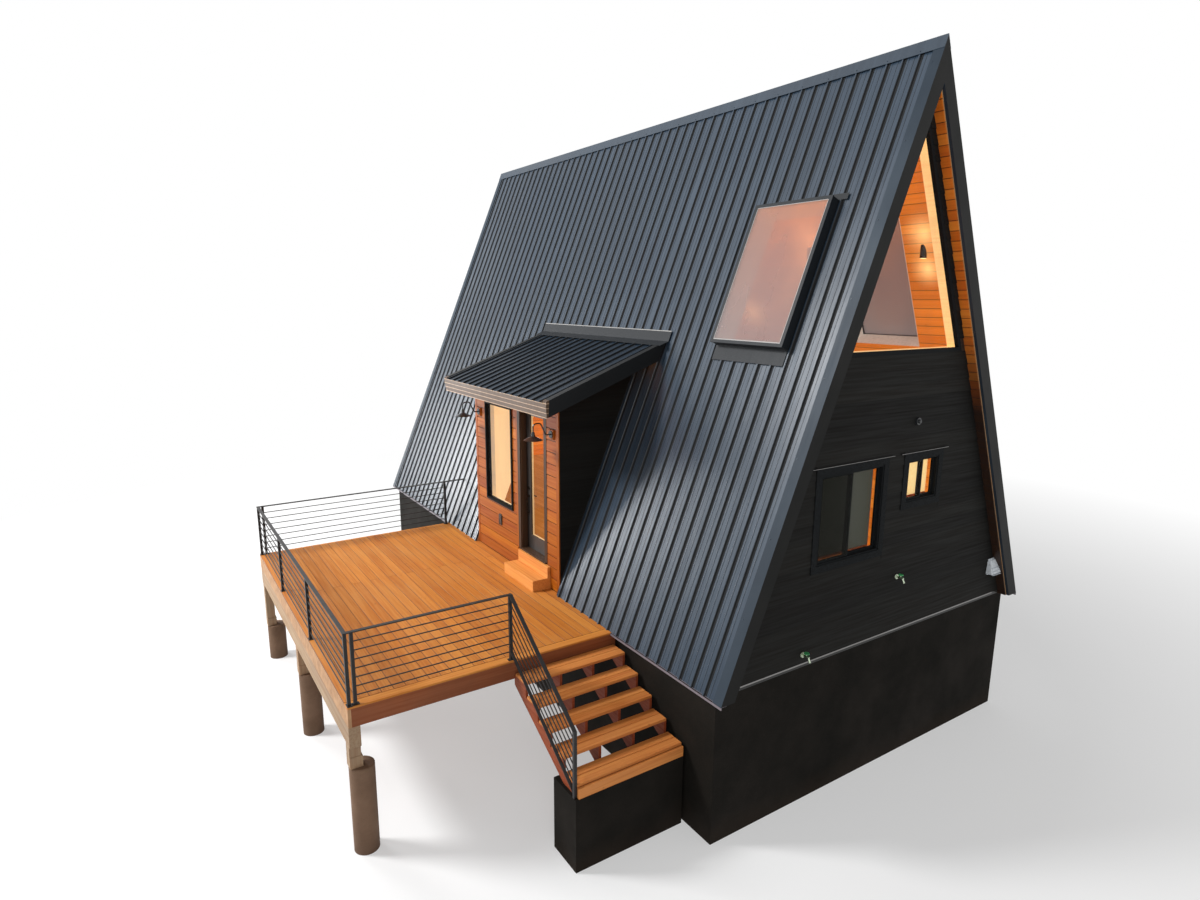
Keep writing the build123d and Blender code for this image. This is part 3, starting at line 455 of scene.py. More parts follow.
class Wood(Finish):
    """Boards with grain and knots; its wires colour, board, fibre and joint can be used further."""

    def __init__(self, name, tones, grain, streak=0.5, knots=0.6, rows=None, **constants):
        super().__init__(name, **constants)
        self.joint = None
        if rows:
            across, width, gap = rows
            place = across(self)
            row = {"W": place.math("FLOOR", place / width)}
            self.board = self.node("ShaderNodeTexWhiteNoise", {"noise_dimensions": "1D"}, row, "Value")
            self.joint = place.wrapped(width) < gap
        else:
            self.board = self.node("ShaderNodeAttribute", {"attribute_name": "board"}, output="Fac")
        self.apart = self.vector("MULTIPLY", (37, 61, 23), self.board)
        self.fibre = self.moved_noise(grain, 5)
        self.bands = self.moved_noise([share / 5 for share in grain], 2)
        streaks = self.spread(self.fibre, 0.42, 0.72) * streak
        share = streaks + self.spread(self.bands, 0.4, 0.7) * (streak * 0.6)
        colour = self.mix(share, self.ramp(self.board, *even_stops(tones)), (196, 138, 96), "MULTIPLY")
        if knots:
            colour = self.mix(self.knot_mask(grain) * knots, colour, (84, 44, 22))
        if self.joint:
            colour = self.mix(self.joint * 0.85, colour, (58, 26, 10))
        self.colour = colour
        self.set(base_color=colour)

    def moved(self, stretch):
        return self.vector("ADD", self.place(stretch), self.apart)

    def moved_noise(self, grain, detail):
        inputs = {"Vector": self.moved(grain), "Scale": 1, "Detail": detail}
        return self.node("ShaderNodeTexNoise", None, inputs, "Fac")

    def knot_mask(self, grain):
        """Round dark spots of differing size, in about every third cell."""
        inputs = {"Vector": self.moved([4.5 if share == min(grain) else 9 for share in grain]), "Scale": 1}
        distance = self.node("ShaderNodeTexVoronoi", None, inputs, "Distance")
        cell = self.node("ShaderNodeTexVoronoi", None, inputs, "Color")
        chance = self.node("ShaderNodeSeparateColor", None, {"Color": cell}, "Red")
        return self.spread(self.spread(chance, 0.66, 1, 0.0, 0.16) - distance, 0, 0.05)

    def surface(self, smooth, rough, relief=0.5, depth=0.002):
        """Roughness and relief of the surface, from the grain and the joints."""
        height = self.fibre if self.joint is None else self.fibre * 0.4 - self.joint
        normal = self.bump(height, relief, depth)
        return self.set(roughness=self.spread(self.fibre, 0.3, 0.7, smooth, rough), normal=normal)


def up_slope(finish):
    """How far up the slope a point lies, the same on both sides of the ridge."""
    aside = (finish.axis("X") - ridge_x).distance()
    return (half_width - aside) * math.cos(pitch) + finish.above_deck() * math.sin(pitch)


along_y = (38, 1.1, 38)
along_x = (1.1, 38, 38)
upright_grain = (38, 38, 1.1)
print("wood recipe ready")

# %% [markdown]
# The boards inside are clear finished pine, and the evening light in the rooms shows through the panes. A
# pane lets the camera look in but brings in little daylight, so the light of the rooms is painted: the
# boards give off their own colour, a little warmed, as painted light. It is held to the rooms by how far a
# point is from the rake, and it is brightest in painted pools of light above and below the two wall lights
# and at one more spot on the slope.


# %% Pine inside
def within(finish, low, high):
    """A mask that is 1 between two places along the ridge."""
    place = finish.axis("Y")
    return (place > low) * (place < high)


def behind_rakes(finish, depth):
    """A mask of what lies at least so deep behind both rakes."""
    return within(finish, front_y + depth, back_y - depth)


def lit_inside(finish, *pools):
    """Paints the light of the rooms: the part of a surface in the rooms gives off its own colour, warmed,
    plus painted pools of light.
    """
    above = finish.axis("Z") > deck_z + 3.1
    depth = finish.spread(finish.axis("Y"), front_y + 3, front_y + 4.5, 0.10, 1)
    amount = above + (1 - above) * depth
    warmed = finish.mix(0.35, finish.colour, (255, 172, 50))
    glow = finish.mix(behind_rakes(finish, 0.24) * amount, black, warmed)
    for centre, radius in pools:
        pool = finish.spread(finish.away_from(centre), 0, radius, 1, 0) ** 2
        glow = finish.mix(pool, glow, pool_light, "ADD")
    return finish.set(emission_color=glow)


black = (0, 0, 0, 1)
pool_light = (2.6, 1.7, 0.7, 1)
cream = (236, 212, 164)
pine_tones = [(214, 120, 34), (196, 100, 24), (226, 136, 46), (204, 108, 28), (218, 126, 38)]
pine_width = 0.135

wall_lights = (spot(0.75, 0.58, 5.30), spot(0.70, 2.53, 5.36))
# Centres and radii of the painted pools of light on the boards.
pools = [(spot(1.11, 4.13, 4.41), 0.5)]
for place, size in zip(wall_lights, (1.0, 1.7)):
    pools.append((place + Vector((-0.05, -0.05, 0.24)), 0.40 * size))
    pools.append((place + Vector((0.12, -0.03, -0.22)), 0.34 * size))

rows = (up_slope, pine_width, 0.011)
pine = Wood("pine_boards", pine_tones, along_y, 0.35, 0.35, rows, emission_strength=0.5)
pine.surface(0.35, 0.5, 0.5, 0.004)
lit_inside(pine, *pools)
# Painted shade: under the rake overhangs, outside the rooms, the soffit boards darken to near black from
# about 4.8 m down to 3.4 m, with a ragged edge.
soffit = 1 - behind_rakes(pine, 0.17)
soffit_painted_shade = pine.spread(pine.axis("Z") + pine.noise(1.5, 3) * 0.6, deck_z + 4.8, deck_z + 3.4) * soffit
pine.set(base_color=pine.mix(soffit_painted_shade * 0.97, pine.colour, (12, 10, 8)))
print("pine rows up the slope", round(slope_length / pine_width))

# %% [markdown]
# The walls are boarded on both faces, but each wall is one solid. Its outer face lies behind the siding,
# so the finish of the solid is the one of its inner face and its window reveals, and only the outermost
# layer, which shows in thin gaps, is kept black or cedar. The door is painted in the same way, dark
# outside and cream inside. The inner faces also give off their own tone, as painted light of the lit
# rooms.

# %% Walls seen from inside and outside
siding_tones = [(20, 20, 18), (15, 15, 14), (25, 25, 23), (17, 17, 16), (22, 22, 20)]
cedar_tones = [(160, 86, 15), (140, 70, 10), (174, 100, 22), (150, 78, 12), (166, 93, 18)]
jamb_tones = [(66, 48, 34), (56, 40, 28)]

black_boards = Wood("black_boards", siding_tones, along_x, 0.3, 0.0, specular_ior_level=0.12)
black_boards.surface(0.6, 0.8, 0.5, 0.0015)
cedar = Wood("cedar_boards", cedar_tones, along_y, 0.55, 0.5, specular_ior_level=0.2)
cedar.surface(0.42, 0.6, 0.5, 0.0015)
cedar_upright = Wood("cedar_trims", cedar_tones, upright_grain, 0.5, 0.3, specular_ior_level=0.2)
cedar_upright.surface(0.42, 0.6, 0.5, 0.0015)
door_jamb = Wood("door_jamb", jamb_tones, upright_grain, 0.4, 0.2, specular_ior_level=0.2)
door_jamb.surface(0.45, 0.6, 0.4, 0.001)


def two_faced(finish, indoors, outer, inner):
    """Paints the mask indoors in the inner tone and lets it give off that tone as painted light; the rest
    takes the outer tone.
    """
    base = finish.mix(indoors, outer, inner)
    return finish.set(base_color=base, emission_color=finish.mix(indoors, black, inner))


rows = (Finish.above_deck, pine_width, 0.005)
gable_core = Wood("gable_inner_boards", pine_tones, along_x, 0.35, 0.3, rows, emission_strength=0.9)
gable_core.surface(0.35, 0.5, 0.4, 0.003)
# Above 3.8 m the inner boards are paler, and as they give off their own tone, the painted light is
# brighter there too.
peak = gable_core.above_deck() > 3.8
inner = gable_core.mix(peak * 0.85, gable_core.colour, (240, 186, 108))
two_faced(gable_core, behind_rakes(gable_core, 0.20), siding_tones[0], inner)

entry_core = Finish("entry_inner_walls", emission_strength=0.5, roughness=0.7)
cheek_core = Finish("cheek_inner_walls", emission_strength=0.8, roughness=0.7)
door_paint = Finish("door_paint", coat_weight=0.15, coat_roughness=0.2, emission_strength=0.35)
bay_low, bay_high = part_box("cheek_front")[0].y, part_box("cheek_back")[1].y

bay = within(entry_core, bay_low + 0.02, bay_high - 0.02) * (entry_core.axis("X") > ridge_x - 3.04)
mottle = entry_core.mix(entry_core.clouds(0.35, 0.65, 3), cream, (216, 200, 170))
two_faced(entry_core, bay, (28, 16, 8), mottle)
bay = within(cheek_core, bay_low + 0.03, bay_high - 0.03) * (cheek_core.axis("X") > ridge_x - 2.935)
two_faced(cheek_core, bay * (up_slope(cheek_core) > 0.45), siding_tones[0], cream)
for finish in (entry_core, cheek_core):
    finish.set(normal=finish.bump(finish.noise(180, 2), 0.2, 0.0006))

brushed = door_paint.noise(1, 4, stretch=(60, 60, 2))
outer = door_paint.mix(door_paint.spread(brushed, 0.4, 0.7), (38, 36, 35), (50, 47, 45))
two_faced(door_paint, door_paint.axis("X") > ridge_x - 2.965, outer, cream)
door_paint.set(roughness=door_paint.spread(brushed, 0.3, 0.7, 0.36, 0.5))
door_paint.set(normal=door_paint.bump(brushed, 0.25, 0.0008))
print("walls: black or cedar outside, pine and cream inside")

# %% [markdown]
# Outdoor planks turn with the weather: the deck boards are stained and walked on, the posts under
# them have greyed. The recipe stays, the tones change, and a large soft noise lays wear over the
# boards without regard to their joints.


# %% Weathered wood
def weathered(name, tones, grain, worn, amount=0.3):
    finish = Wood(name, tones, grain, 0.4, 0.4, specular_ior_level=0.3)
    finish.colour = finish.mix(finish.clouds(0.42, 0.66, 0.9, 5, 0.6) * amount, finish.colour, worn)
    finish.set(base_color=finish.colour)
    return finish.surface(0.55, 0.8, 0.7, 0.002)


deck_tones = [(192, 120, 40), (180, 108, 32), (202, 130, 50), (186, 114, 36), (196, 124, 45)]
tread_tones = [(204, 130, 62), (192, 116, 50), (214, 142, 74), (198, 122, 56)]
step_tones = [(224, 152, 74), (212, 138, 62)]
stringer_tones = [(140, 66, 34), (128, 58, 30), (150, 74, 38)]
joist_tones = [(138, 76, 40), (126, 68, 36), (148, 84, 46)]
grey_tones = [(168, 142, 112), (150, 122, 92), (182, 158, 128), (160, 132, 102)]
framing_tones = [(186, 150, 108), (170, 134, 94), (198, 164, 124)]
floor_tones = [(160, 116, 74), (146, 102, 62), (174, 130, 88)]

deck_wood = weathered("deck_boards", deck_tones, along_y, (184, 130, 70))
deck_wood_across = weathered("deck_boards_across", deck_tones, along_x, (180, 122, 66))
tread_wood = weathered("tread_boards", tread_tones, along_x, (180, 120, 70))
step_wood = weathered("step_boards", step_tones, along_y, (214, 150, 92), 0.2)
stringer_wood = weathered("stringer_boards", stringer_tones, along_y, (104, 52, 30), 0.4)
joist_wood = weathered("joist_boards", joist_tones, along_x, (100, 60, 38), 0.4)
beam_wood = weathered("beam", grey_tones, along_y, (128, 112, 94), 0.5)
post_wood = weathered("posts", grey_tones, upright_grain, (128, 112, 94), 0.5)
framing = weathered("framing", framing_tones, along_y, (150, 120, 90))

# Painted shade: faces of the deck boards that do not face straight up, their sides and softened edges, are
# darkened as if shaded in the gaps.
edges = deck_wood.spread(deck_wood.facing("Z"), 0.98, 0.6)
deck_wood.set(base_color=deck_wood.mix(edges * 0.8, deck_wood.colour, (84, 44, 20)))
pale_rim = joist_wood.axis("X") < ridge_x - 6.80
greyed = joist_wood.mix(joist_wood.spread(joist_wood.bands, 0.3, 0.7), (178, 138, 100), (150, 112, 78))
joist_wood.set(base_color=joist_wood.mix(pale_rim, joist_wood.colour, greyed))

rows = (lambda finish: finish.axis("X") - ridge_x, 0.12, 0.003)
room_floor = Wood("room_floor", floor_tones, along_y, 0.5, 0.2, rows, emission_strength=0.45)
room_floor.surface(0.3, 0.45, 0.4, 0.002)
# The floor boards in the rooms also give off their own colour: painted light.
lit_inside(room_floor)
print("weathered finishes ready")

# %% [markdown]
# The roofing is coated steel, rolled into ribs: a dark slate paint with a low sheen. Real sheets are never
# quite flat. A slow wave across each pan bends the reflections, and dust runs down the slope in faint
# streaks. The sides of the ribs are darkened as painted shade, and a strip beside the foot of each rib as
# a painted shadow. The trims are the same steel in other coats.


# %% Coated steel
def coated_steel(name, colour, dust, smooth, rough, wave, amount, gloss=1, ribbed=None):
    finish = Finish(name, coat_roughness=0.25, specular_ior_level=0.4 * gloss)
    streaks = finish.clouds(0.42, 0.75, 1, 5, 0.6, (1.5, 14, 1.0))
    cloud = finish.clouds(0.35, 0.7, 0.55, 4, 0.55)
    fine = finish.noise(160, 2)
    tone = finish.mix(streaks * amount + cloud * (amount * 0.8), colour, dust)
    tone = finish.mix(finish.spread(fine, 0.4, 0.6) * 0.08, tone, (104, 114, 124))
    dull = finish.spread(streaks * 0.6 + cloud * 0.4, 0, 1, smooth, rough)
    coat = finish.spread(cloud, 0, 1, 0.22 * gloss, 0.08 * gloss)
    if ribbed is not None:
        # Painted shade: faces that point along Y, the sides of the ribs, are darkened.
        tone = finish.mix(finish.spread(finish.facing("Y"), 0.25, 0.7) * 0.85, tone, (12, 14, 16))
        # Painted shadow: a strip at the foot of each rib, on its side towards -Y, is darkened as if the
        # rib cast its shadow there; it is also rougher and has no coat.
        place = (finish.axis("Y") - front_y - ribbed).wrapped(rib_gap)
        foot = (place > rib_gap - 0.052) * (place < rib_gap - 0.015)
        tone = finish.mix(foot * 0.95, tone, (6, 7, 8))
        dull, coat = dull + foot * 0.5, coat * (1 - foot)
    waves = finish.noise(1, 2, 0.4, (3.2, 4.5, 1.1)) * wave + fine * 0.02
    finish.set(base_color=tone, roughness=dull, coat_weight=coat)
    return finish.set(normal=finish.bump(waves, 0.35, 0.02))


rib_gap = 0.233
first_rib = 0.33
porch_first = reach("porch_roofing")[0].y + 0.06
slates, porch_slates = ((28, 43, 58), (54, 72, 90)), ((10, 27, 42), (26, 46, 62))
roof_steel = coated_steel("roof_steel", *slates, 0.28, 0.42, 0.6, 0.25, 0.85, first_rib)
porch_steel = coated_steel("porch_steel", *porch_slates, 0.34, 0.48, 0.6, 0.2, 0.4, porch_first)
cap_steel = coated_steel("cap_steel", (28, 41, 54), (50, 66, 81), 0.32, 0.46, 0.4, 0.25, 0.85)
trim_steel = coated_steel("trim_steel", (16, 18, 21), (28, 31, 34), 0.42, 0.58, 0.25, 0.2, 0.4)
rake_steel = coated_steel("rake_steel", (42, 50, 58), (66, 74, 82), 0.42, 0.58, 0.25, 0.2, 0.3)
flashing_steel = coated_steel("pale_flashing", (148, 146, 144), (112, 108, 104), 0.35, 0.5, 0.2, 0.4)
window_black = coated_steel("window_frames", (12, 12, 11), (20, 20, 18), 0.6, 0.75, 0.05, 0.2, 0.1)
rail_black = coated_steel("rail_coat", (26, 23, 21), (46, 40, 35), 0.4, 0.55, 0.05, 0.25, 0.5)
fascia_coat = coated_steel("porch_fascia", (26, 27, 28), (40, 41, 42), 0.42, 0.58, 0.1, 0.2, 0.4)
lamp_black = coated_steel("lamp_enamel", (24, 25, 26), (44, 44, 44), 0.18, 0.32, 0.05, 0.2)
drip_steel = coated_steel("eave_drip", (118, 110, 116), (90, 84, 88), 0.35, 0.5, 0.1, 0.3)

# Painted shade: the faces of the rake trims that point along Y are near black, while the same steel is
# slate elsewhere.
rake_face_painted_shade = rake_steel.mix(rake_steel.clouds(0.35, 0.7, 2, 5), (7, 8, 7), (15, 15, 14))
slate = rake_steel.mix(rake_steel.clouds(0.35, 0.7, 0.8, 4), (34, 44, 54), (50, 60, 70))
rake_steel.set(base_color=rake_steel.mix(rake_steel.facing("Y") > 0.8, slate, rake_face_painted_shade))

# Painted highlights: a pale line every 70 mm on the stepped fascia stands for light on the edges of its
# steps.
step_edge_painted_highlight = (fascia_coat.above_deck() - 2.976).wrapped(0.070) < 0.012
fascia_bands_with_highlights = fascia_coat.mix(step_edge_painted_highlight, (84, 66, 52), (176, 148, 122))
fascia_bands_with_highlights = fascia_coat.mix(fascia_coat.clouds(0.3, 0.7, 14) * 0.3, fascia_bands_with_highlights, (60, 50, 42))
outer_face = fascia_coat.axis("X") < ridge_x - 3.60
fascia_coat.set(base_color=fascia_coat.mix(outer_face, (24, 25, 26), fascia_bands_with_highlights))
print("coated steel ready")

# %% [markdown]
# The foundation wears a dark coat over concrete, the piers are bare. Both are the same cast stone:
# clouds of tone, small pits, and earth splashed up from the ground, which a coordinate brings in.


# %% Concrete
def cast_stone(name, light, dark, splash, low, **constants):
    finish = Finish(name, **constants)
    cloud = finish.clouds(0.32, 0.68, 1.3, 6, 0.6)
    pits = finish.noise(70, 3, 0.6)
    tone = finish.mix(finish.spread(pits, 0.6, 0.72) * 0.35, finish.mix(cloud, light, dark), (50, 44, 38))
    ragged = finish.above_deck() + finish.noise(3, 3) * 0.35
    tone = finish.mix(finish.spread(ragged, low, -1.5, 0.6, 0), tone, splash)
    finish.set(base_color=tone, roughness=finish.spread(cloud, 0, 1, 0.72, 0.92))
    return finish.set(normal=finish.bump(pits + cloud * 0.5, 0.5, 0.004))


coat_tones = (25, 21, 17), (16, 15, 12), (46, 36, 28)
pier_tones = (118, 90, 68), (90, 66, 47), (74, 52, 36)
foundation_coat = cast_stone("foundation_coat", *coat_tones, -1.98, specular_ior_level=0.1)
pier_concrete = cast_stone("pier_concrete", *pier_tones, -1.95)
print("concrete ready")

# %% [markdown]
# Glass is thin and clear with a faint green cast and a trace of dust. The panes at the back are almost
# opaque and carry painted light of the room behind them, warm low down and dark higher up. The skylight
# pane warms to painted light of the room towards its head. Door hardware is a dark bronze: a metal whose
# rubbed spots shine.


# %% Glass, hardware and light
def pane(name, tone, dust, low, high, specular):
    """Thin glass of a tone; low and high are how much of it covers what lies behind."""
    finish = Finish(name, specular_ior_level=specular)
    smear = finish.clouds(0.45, 0.8, 2.5, 4, stretch=(1, 1, 0.4))
    finish.set(base_color=finish.mix(smear, tone(finish), dust))
    finish.set(roughness=finish.spread(smear, 0, 1, 0.02, 0.06))
    return finish.set(alpha=finish.spread(smear, 0, 1, low, high))


# Painted light of the room behind a back pane: warm orange up to 4 m above the deck, dark from 5.2 m.
def painted_room_light(finish):
    height = finish.spread(finish.axis("Z"), deck_z + 4.0, deck_z + 5.2)
    return finish.mix(height, (128, 76, 28), (40, 27, 15))


glass = pane("glass", lambda finish: (18, 22, 22), (56, 60, 58), 0.10, 0.16, 0.4)
glass_with_painted_room_light = pane("shaded_glass", painted_room_light, (62, 42, 25), 0.985, 0.995, 0.3)

sky_pane = Finish("skylight_pane", transmission_weight=0.62, ior=1.4)
haze = sky_pane.clouds(0.35, 0.7, 1.1, 4, stretch=(1, 1, 0.5))
# Painted light: the pane's own colour runs from pale grey at its foot to warm orange at its head, for the
# lit room seen through it.
pane_painted_light_stops = (0, (182, 168, 164)), (0.55, (192, 160, 148)), (1, (208, 154, 128))
pane_tone_with_painted_light = sky_pane.ramp(sky_pane.spread(up_slope(sky_pane), 4.4, 6.3), *pane_painted_light_stops)
sky_pane.set(base_color=sky_pane.mix(haze * 0.45, pane_tone_with_painted_light, (150, 140, 146)))
sky_pane.set(roughness=sky_pane.spread(haze, 0, 1, 0.0, 0.015))

bronze = Finish("dark_bronze", metallic=1.0)
rubbed = bronze.clouds(0.45, 0.7, 30, 4)
bronze.set(base_color=bronze.mix(rubbed, (58, 52, 48), (98, 84, 72)))
bronze.set(roughness=bronze.spread(rubbed, 0, 1, 0.38, 0.24))


def small_paint(name, colour, worn, rough=0.4, **constants):
    """Paint on a small fitting, a little worn."""
    finish = Finish(name, **constants)
    spots = finish.clouds(0.45, 0.75, 24, 4)
    finish.set(base_color=finish.mix(spots, colour, worn))
    finish.set(roughness=finish.spread(spots, 0, 1, rough, rough + 0.2))
    return finish.set(normal=finish.bump(finish.noise(90, 2), 0.1, 0.0004))


def lit_paint(name, colour, worn, light, strength, rough=0.6):
    """Small paint that gives off some light: a lamp's own on the bulbs, painted light on the blinds and
    the skylight wells.
    """
    return small_paint(name, colour, worn, rough, emission_strength=strength, emission_color=light)


vent_white = small_paint("vent_enamel", (214, 220, 226), (180, 186, 190))
tap_metal = small_paint("tap_metal", (186, 198, 176), (132, 140, 118), 0.3, metallic=1.0)
tap_green = small_paint("tap_handle", (64, 168, 96), (46, 120, 74))
warm_bulb = lit_paint("warm_bulb", (255, 226, 180), (250, 214, 160), (255, 206, 140), 3.0, 0.4)
# Painted light: the blinds and the skylight wells glow, though they are no lamps.
blind_grey = lit_paint("blind_grey", (24, 25, 20), (18, 19, 16), (60, 62, 50), 0.8)
blind_lit = lit_paint("blind_lit", (250, 222, 160), (236, 200, 130), (255, 218, 146), 0.75)
well_paint = lit_paint("well_paint", (226, 222, 212), (206, 202, 190), (226, 222, 212), 0.25)
print("glass and small fittings ready")

# %% [markdown]
# Each solid now takes its finish. Most follow the material slot of the record; the inner faces of
# walls, the grain that runs another way and the cast parts are named one by one.

# %% Finishes of the solids
by_slot = {
    "roof_metal": roof_steel,
    "black_trim": trim_steel,
    "black_siding": gable_core,
    "foundation": foundation_coat,
    "pine_lining": pine,
    "cedar": entry_core,
    "framing": framing,
    "floor_wood": room_floor,
    "deck_wood": joist_wood,
    "beam_wood": beam_wood,
    "concrete": pier_concrete,
    "glass": glass,
    "rail_metal": rail_black,
    "lamp_metal": lamp_black,
    "door_black": window_black,
    "handle_metal": bronze,
}
own_finish = {
    door_paint: ["door_leaf"],
    door_jamb: ["door_frame"],
    window_black: ["window_frames_front", "window_frames_back", "entry_window_frame"],
    cheek_core: ["cheek_front", "cheek_back"],
    pine: ["porch_roof"],
    sky_pane: ["skylight_glass"],
    glass_with_painted_room_light: ["window_glass_back"],
    foundation_coat: ["stair_footing"],
    porch_steel: ["porch_roofing"],
    fascia_coat: ["porch_fascia"],
    trim_steel: ["porch_flashing"],
    cap_steel: ["ridge_cap"],
    rake_steel: ["rake_front_left", "rake_front_right", "rake_back_left", "rake_back_right"],
}
by_node = {name: finish for finish, names in own_finish.items() for name in names}
for name, node in nodes.items():
    node.data.materials.clear()
    node.data.materials.append(by_node.get(name, by_slot[slot_of[name]]).material)
print(len(nodes), "solids finished")

# %% [markdown]
# Between two tall ribs each sheet has two low folds, only a few millimetres high, that stiffen the
# pan. They are long strips with sloping sides. They run from the eave to the ridge cap, and stop
# where the skylight or the entry interrupts the slope.

# %% Low folds of the roofing
rib_height = 0.022
rake_trim = 0.173
rib_count = 1 + int((length - rake_trim - first_rib) / rib_gap)
ribs = [first_rib + index * rib_gap for index in range(rib_count)]
ridge_leg = 0.155
fold_width = 0.020
fold_height = 0.0035
fold_taper = 0.005
fold_foot = 0.01
thirds = (rib_gap / 3, rib_gap * 2 / 3)

glass_low, glass_high = solid_boxes("skylight_glass")[0]
curb_board = 0.05
skylight_v = (4.35, 6.37)
skylight_hole = (*skylight_v, glass_low.y - curb_board, glass_high.y + curb_board)
entry_low, entry_high = reach("entry_wall_base")
flashing_low, flashing_high = reach("porch_flashing")
flashing_v = flashing_high.z / math.sin(pitch)
flashing_leg = 0.06
entry_hole = (-1, flashing_v - flashing_leg, entry_low.y, entry_high.y)


def slope_holes(side):
    return [skylight_hole, entry_hole] if side == left else [skylight_hole]


def fold(mesh, place, start, end, foot, head):
    low = (start, foot, -rib_height - 0.0005)
    brick(mesh, place, low, (end, head, fold_height - rib_height), fold_taper)


folds = blank()
for side in (left, right):
    starts = [first_rib - rib_gap * 0.4] + [rib + third for rib in ribs[:-1] for third in thirds]
    for along in starts:
        edges = (along - fold_width / 2, along + fold_width / 2)
        span = (fold_foot, slope_length - ridge_leg)
        for foot, head, first, last in free_rows(*span, *edges, slope_holes(side)):
            if last - first > fold_width * 0.9:
                fold(folds, slope(side), first, last, foot, head)
piece("roof_folds", folds, roof_steel)

# %% [markdown]
# The sheets are held by rows of screws with a washer under a hexagonal head. There are more than a
# thousand, so each is only two short prisms. On a real roof they stand in level rows, one metre
# apart, just beside each rib, and closer together on the ridge cap and the edge trims.


# %% Roofing screws
def screw(mesh, place, x, y, z):
    rod(mesh, place, (x, y, z - 0.001), (x, y, z + 0.002), 0.009, 8, 0.008)
    rod(mesh, place, (x, y, z + 0.002), (x, y, z + 0.007), 0.0048, 6)


beside_rib = 0.045
screw_room = 0.02
trim_middle = 0.115
screw_rows = [1.145 + index for index in range(8)]
screws = blank()
for side in (left, right):
    surface = slope(side)
    for up in screw_rows:
        for rib in ribs:
            x = rib - beside_rib
            edges = (up - screw_room, up + screw_room, x - screw_room, x + screw_room)
            if free_rows(*edges, slope_holes(side)):
                screw(screws, surface, x, up, -rib_height)
        for edge in (trim_middle, length - trim_middle):
            screw(screws, surface, edge, up - 0.105, 0)
    for rib in ribs[::2]:
        screw(screws, surface, rib, slope_length - ridge_leg + 0.035, 0.006)

porch_edge = reach("porch_roofing")[0].x
porch_pitch = math.radians(20.4)
porch_top = 3.22
porch_rows = (0.09, 0.75, 1.45)
porch_pans = 15
porch_up = (math.cos(porch_pitch), 0, math.sin(porch_pitch))
porch_out = (-math.sin(porch_pitch), 0, math.cos(porch_pitch))
porch_slope = frame_at(spot(porch_edge, 0, porch_top), (0, 1, 0), porch_up, porch_out)
porch_length = (flashing_low.x - porch_edge) / math.cos(porch_pitch)
porch_folds = blank()
for rib in [porch_first + index * rib_gap for index in range(porch_pans)]:
    for along in (rib + third for third in thirds):
        fold(porch_folds, porch_slope, along - fold_width / 2, along + fold_width / 2, 0.005, porch_length)
    for up in porch_rows:
        screw(screws, porch_slope, rib + beside_rib, up, -rib_height)
piece("porch_folds", porch_folds, porch_steel)
piece("roofing_screws", screws, roof_steel)

# %% [markdown]
# Behind the entry the small roof dies into the slope under a bent flashing whose top hem is a pale strip,
# a painted highlight along its edge.
# Along the eaves a drip edge throws the water clear of the foundation, and over the ground the
# gables carry a pale strip that does the same for the siding.

# %% Hems and drip edges
# Painted highlight: the hem is pale on the dark flashing.
hems = blank()
hem_ends = (flashing_low.y, flashing_v - 0.014, 0.004), (flashing_high.y, flashing_v, 0.008)
brick(hems, slope(left), *hem_ends)
piece("flashing_hem", hems, flashing_steel)

drips = blank()
deck_low, deck_high = reach("deck_surface")
runs = ((left, 0, deck_low.y - 0.01), (left, deck_high.y + 0.01, length), (right, 0, length))
for side, first, last in runs:
    for wide, deep in ((0.012, 0.035), (0.09, 0.003)):
        ends = sorted((side * half_width, side * (half_width - wide)))
        brick(drips, level, (ends[0], first, -deep), (ends[1], last, 0.0))
piece("eave_drips", drips, drip_steel)

# %% [markdown]
# The gables are clad with lapped boards: each board is a wedge, thick at its lower edge, and covers
# the top of the one below. Its ends are cut to the slope of the roof. Above the loft the triangular
# window leaves only a strip on either side, so there each course is two short boards.

# %% Gable siding
wall_depth = 0.235
course = 0.185
lap = 0.012
siding_foot = 0.065
butt, feather = 0.017, 0.006
triangle_margin = 0.09
cap_reach, cap_thick, cap_depth = 0.090, 0.004, 0.034
loft_height = 3
gable_low, gable_high = reach("gable_wall_front")
sill = max(low.z for low, high in solid_boxes("window_frames_front"))
gable_frames = {
    "front": frame_at(spot(0, gable_low.y, 0), (1, 0, 0), (0, 0, 1), (0, -1, 0)),
    "back": frame_at(spot(0, length - gable_low.y, 0), (1, 0, 0), (0, 0, 1), (0, 1, 0)),
}


def window_boxes(face):
    """Holes (low, high, start, end) that the casings of the sliding windows leave in the siding."""
    boxes = [pair for pair in solid_boxes("window_frames_" + face) if pair[1].z < loft_height]
    return [(low.z, high.z - cap_thick, low.x + cap_reach, high.x - cap_reach) for low, high in boxes]


def roof_edge(height):
    return half_at(height, wall_depth) - 0.002


def window_edge(height):
    return max(half_at(height, wall_depth + triangle_margin), 0)


def tip(height):
    """The last board ends in a point, a little blunted."""
    return max(roof_edge(height), 0.002)


def lapped(mesh, place, low, high, ends):
    """A lapped board; ends gives where it starts and ends at a height."""
    top = high + lap
    plank(mesh, place, (*ends(low), low, butt), (*ends(top), top, feather))


def course_under_sill(mesh, place, low, high, holes):
    """A whole course: its outer ends follow the slopes, the others stand upright at a window."""
    edge = roof_edge(low)
    for foot, head, first, last in free_rows(low, high, -edge, edge, holes):
        def ends(z):
            start = -roof_edge(z) if first <= -edge + 0.001 else first
            return start, roof_edge(z) if last >= edge - 0.001 else last
        lapped(mesh, place, foot, head, ends)


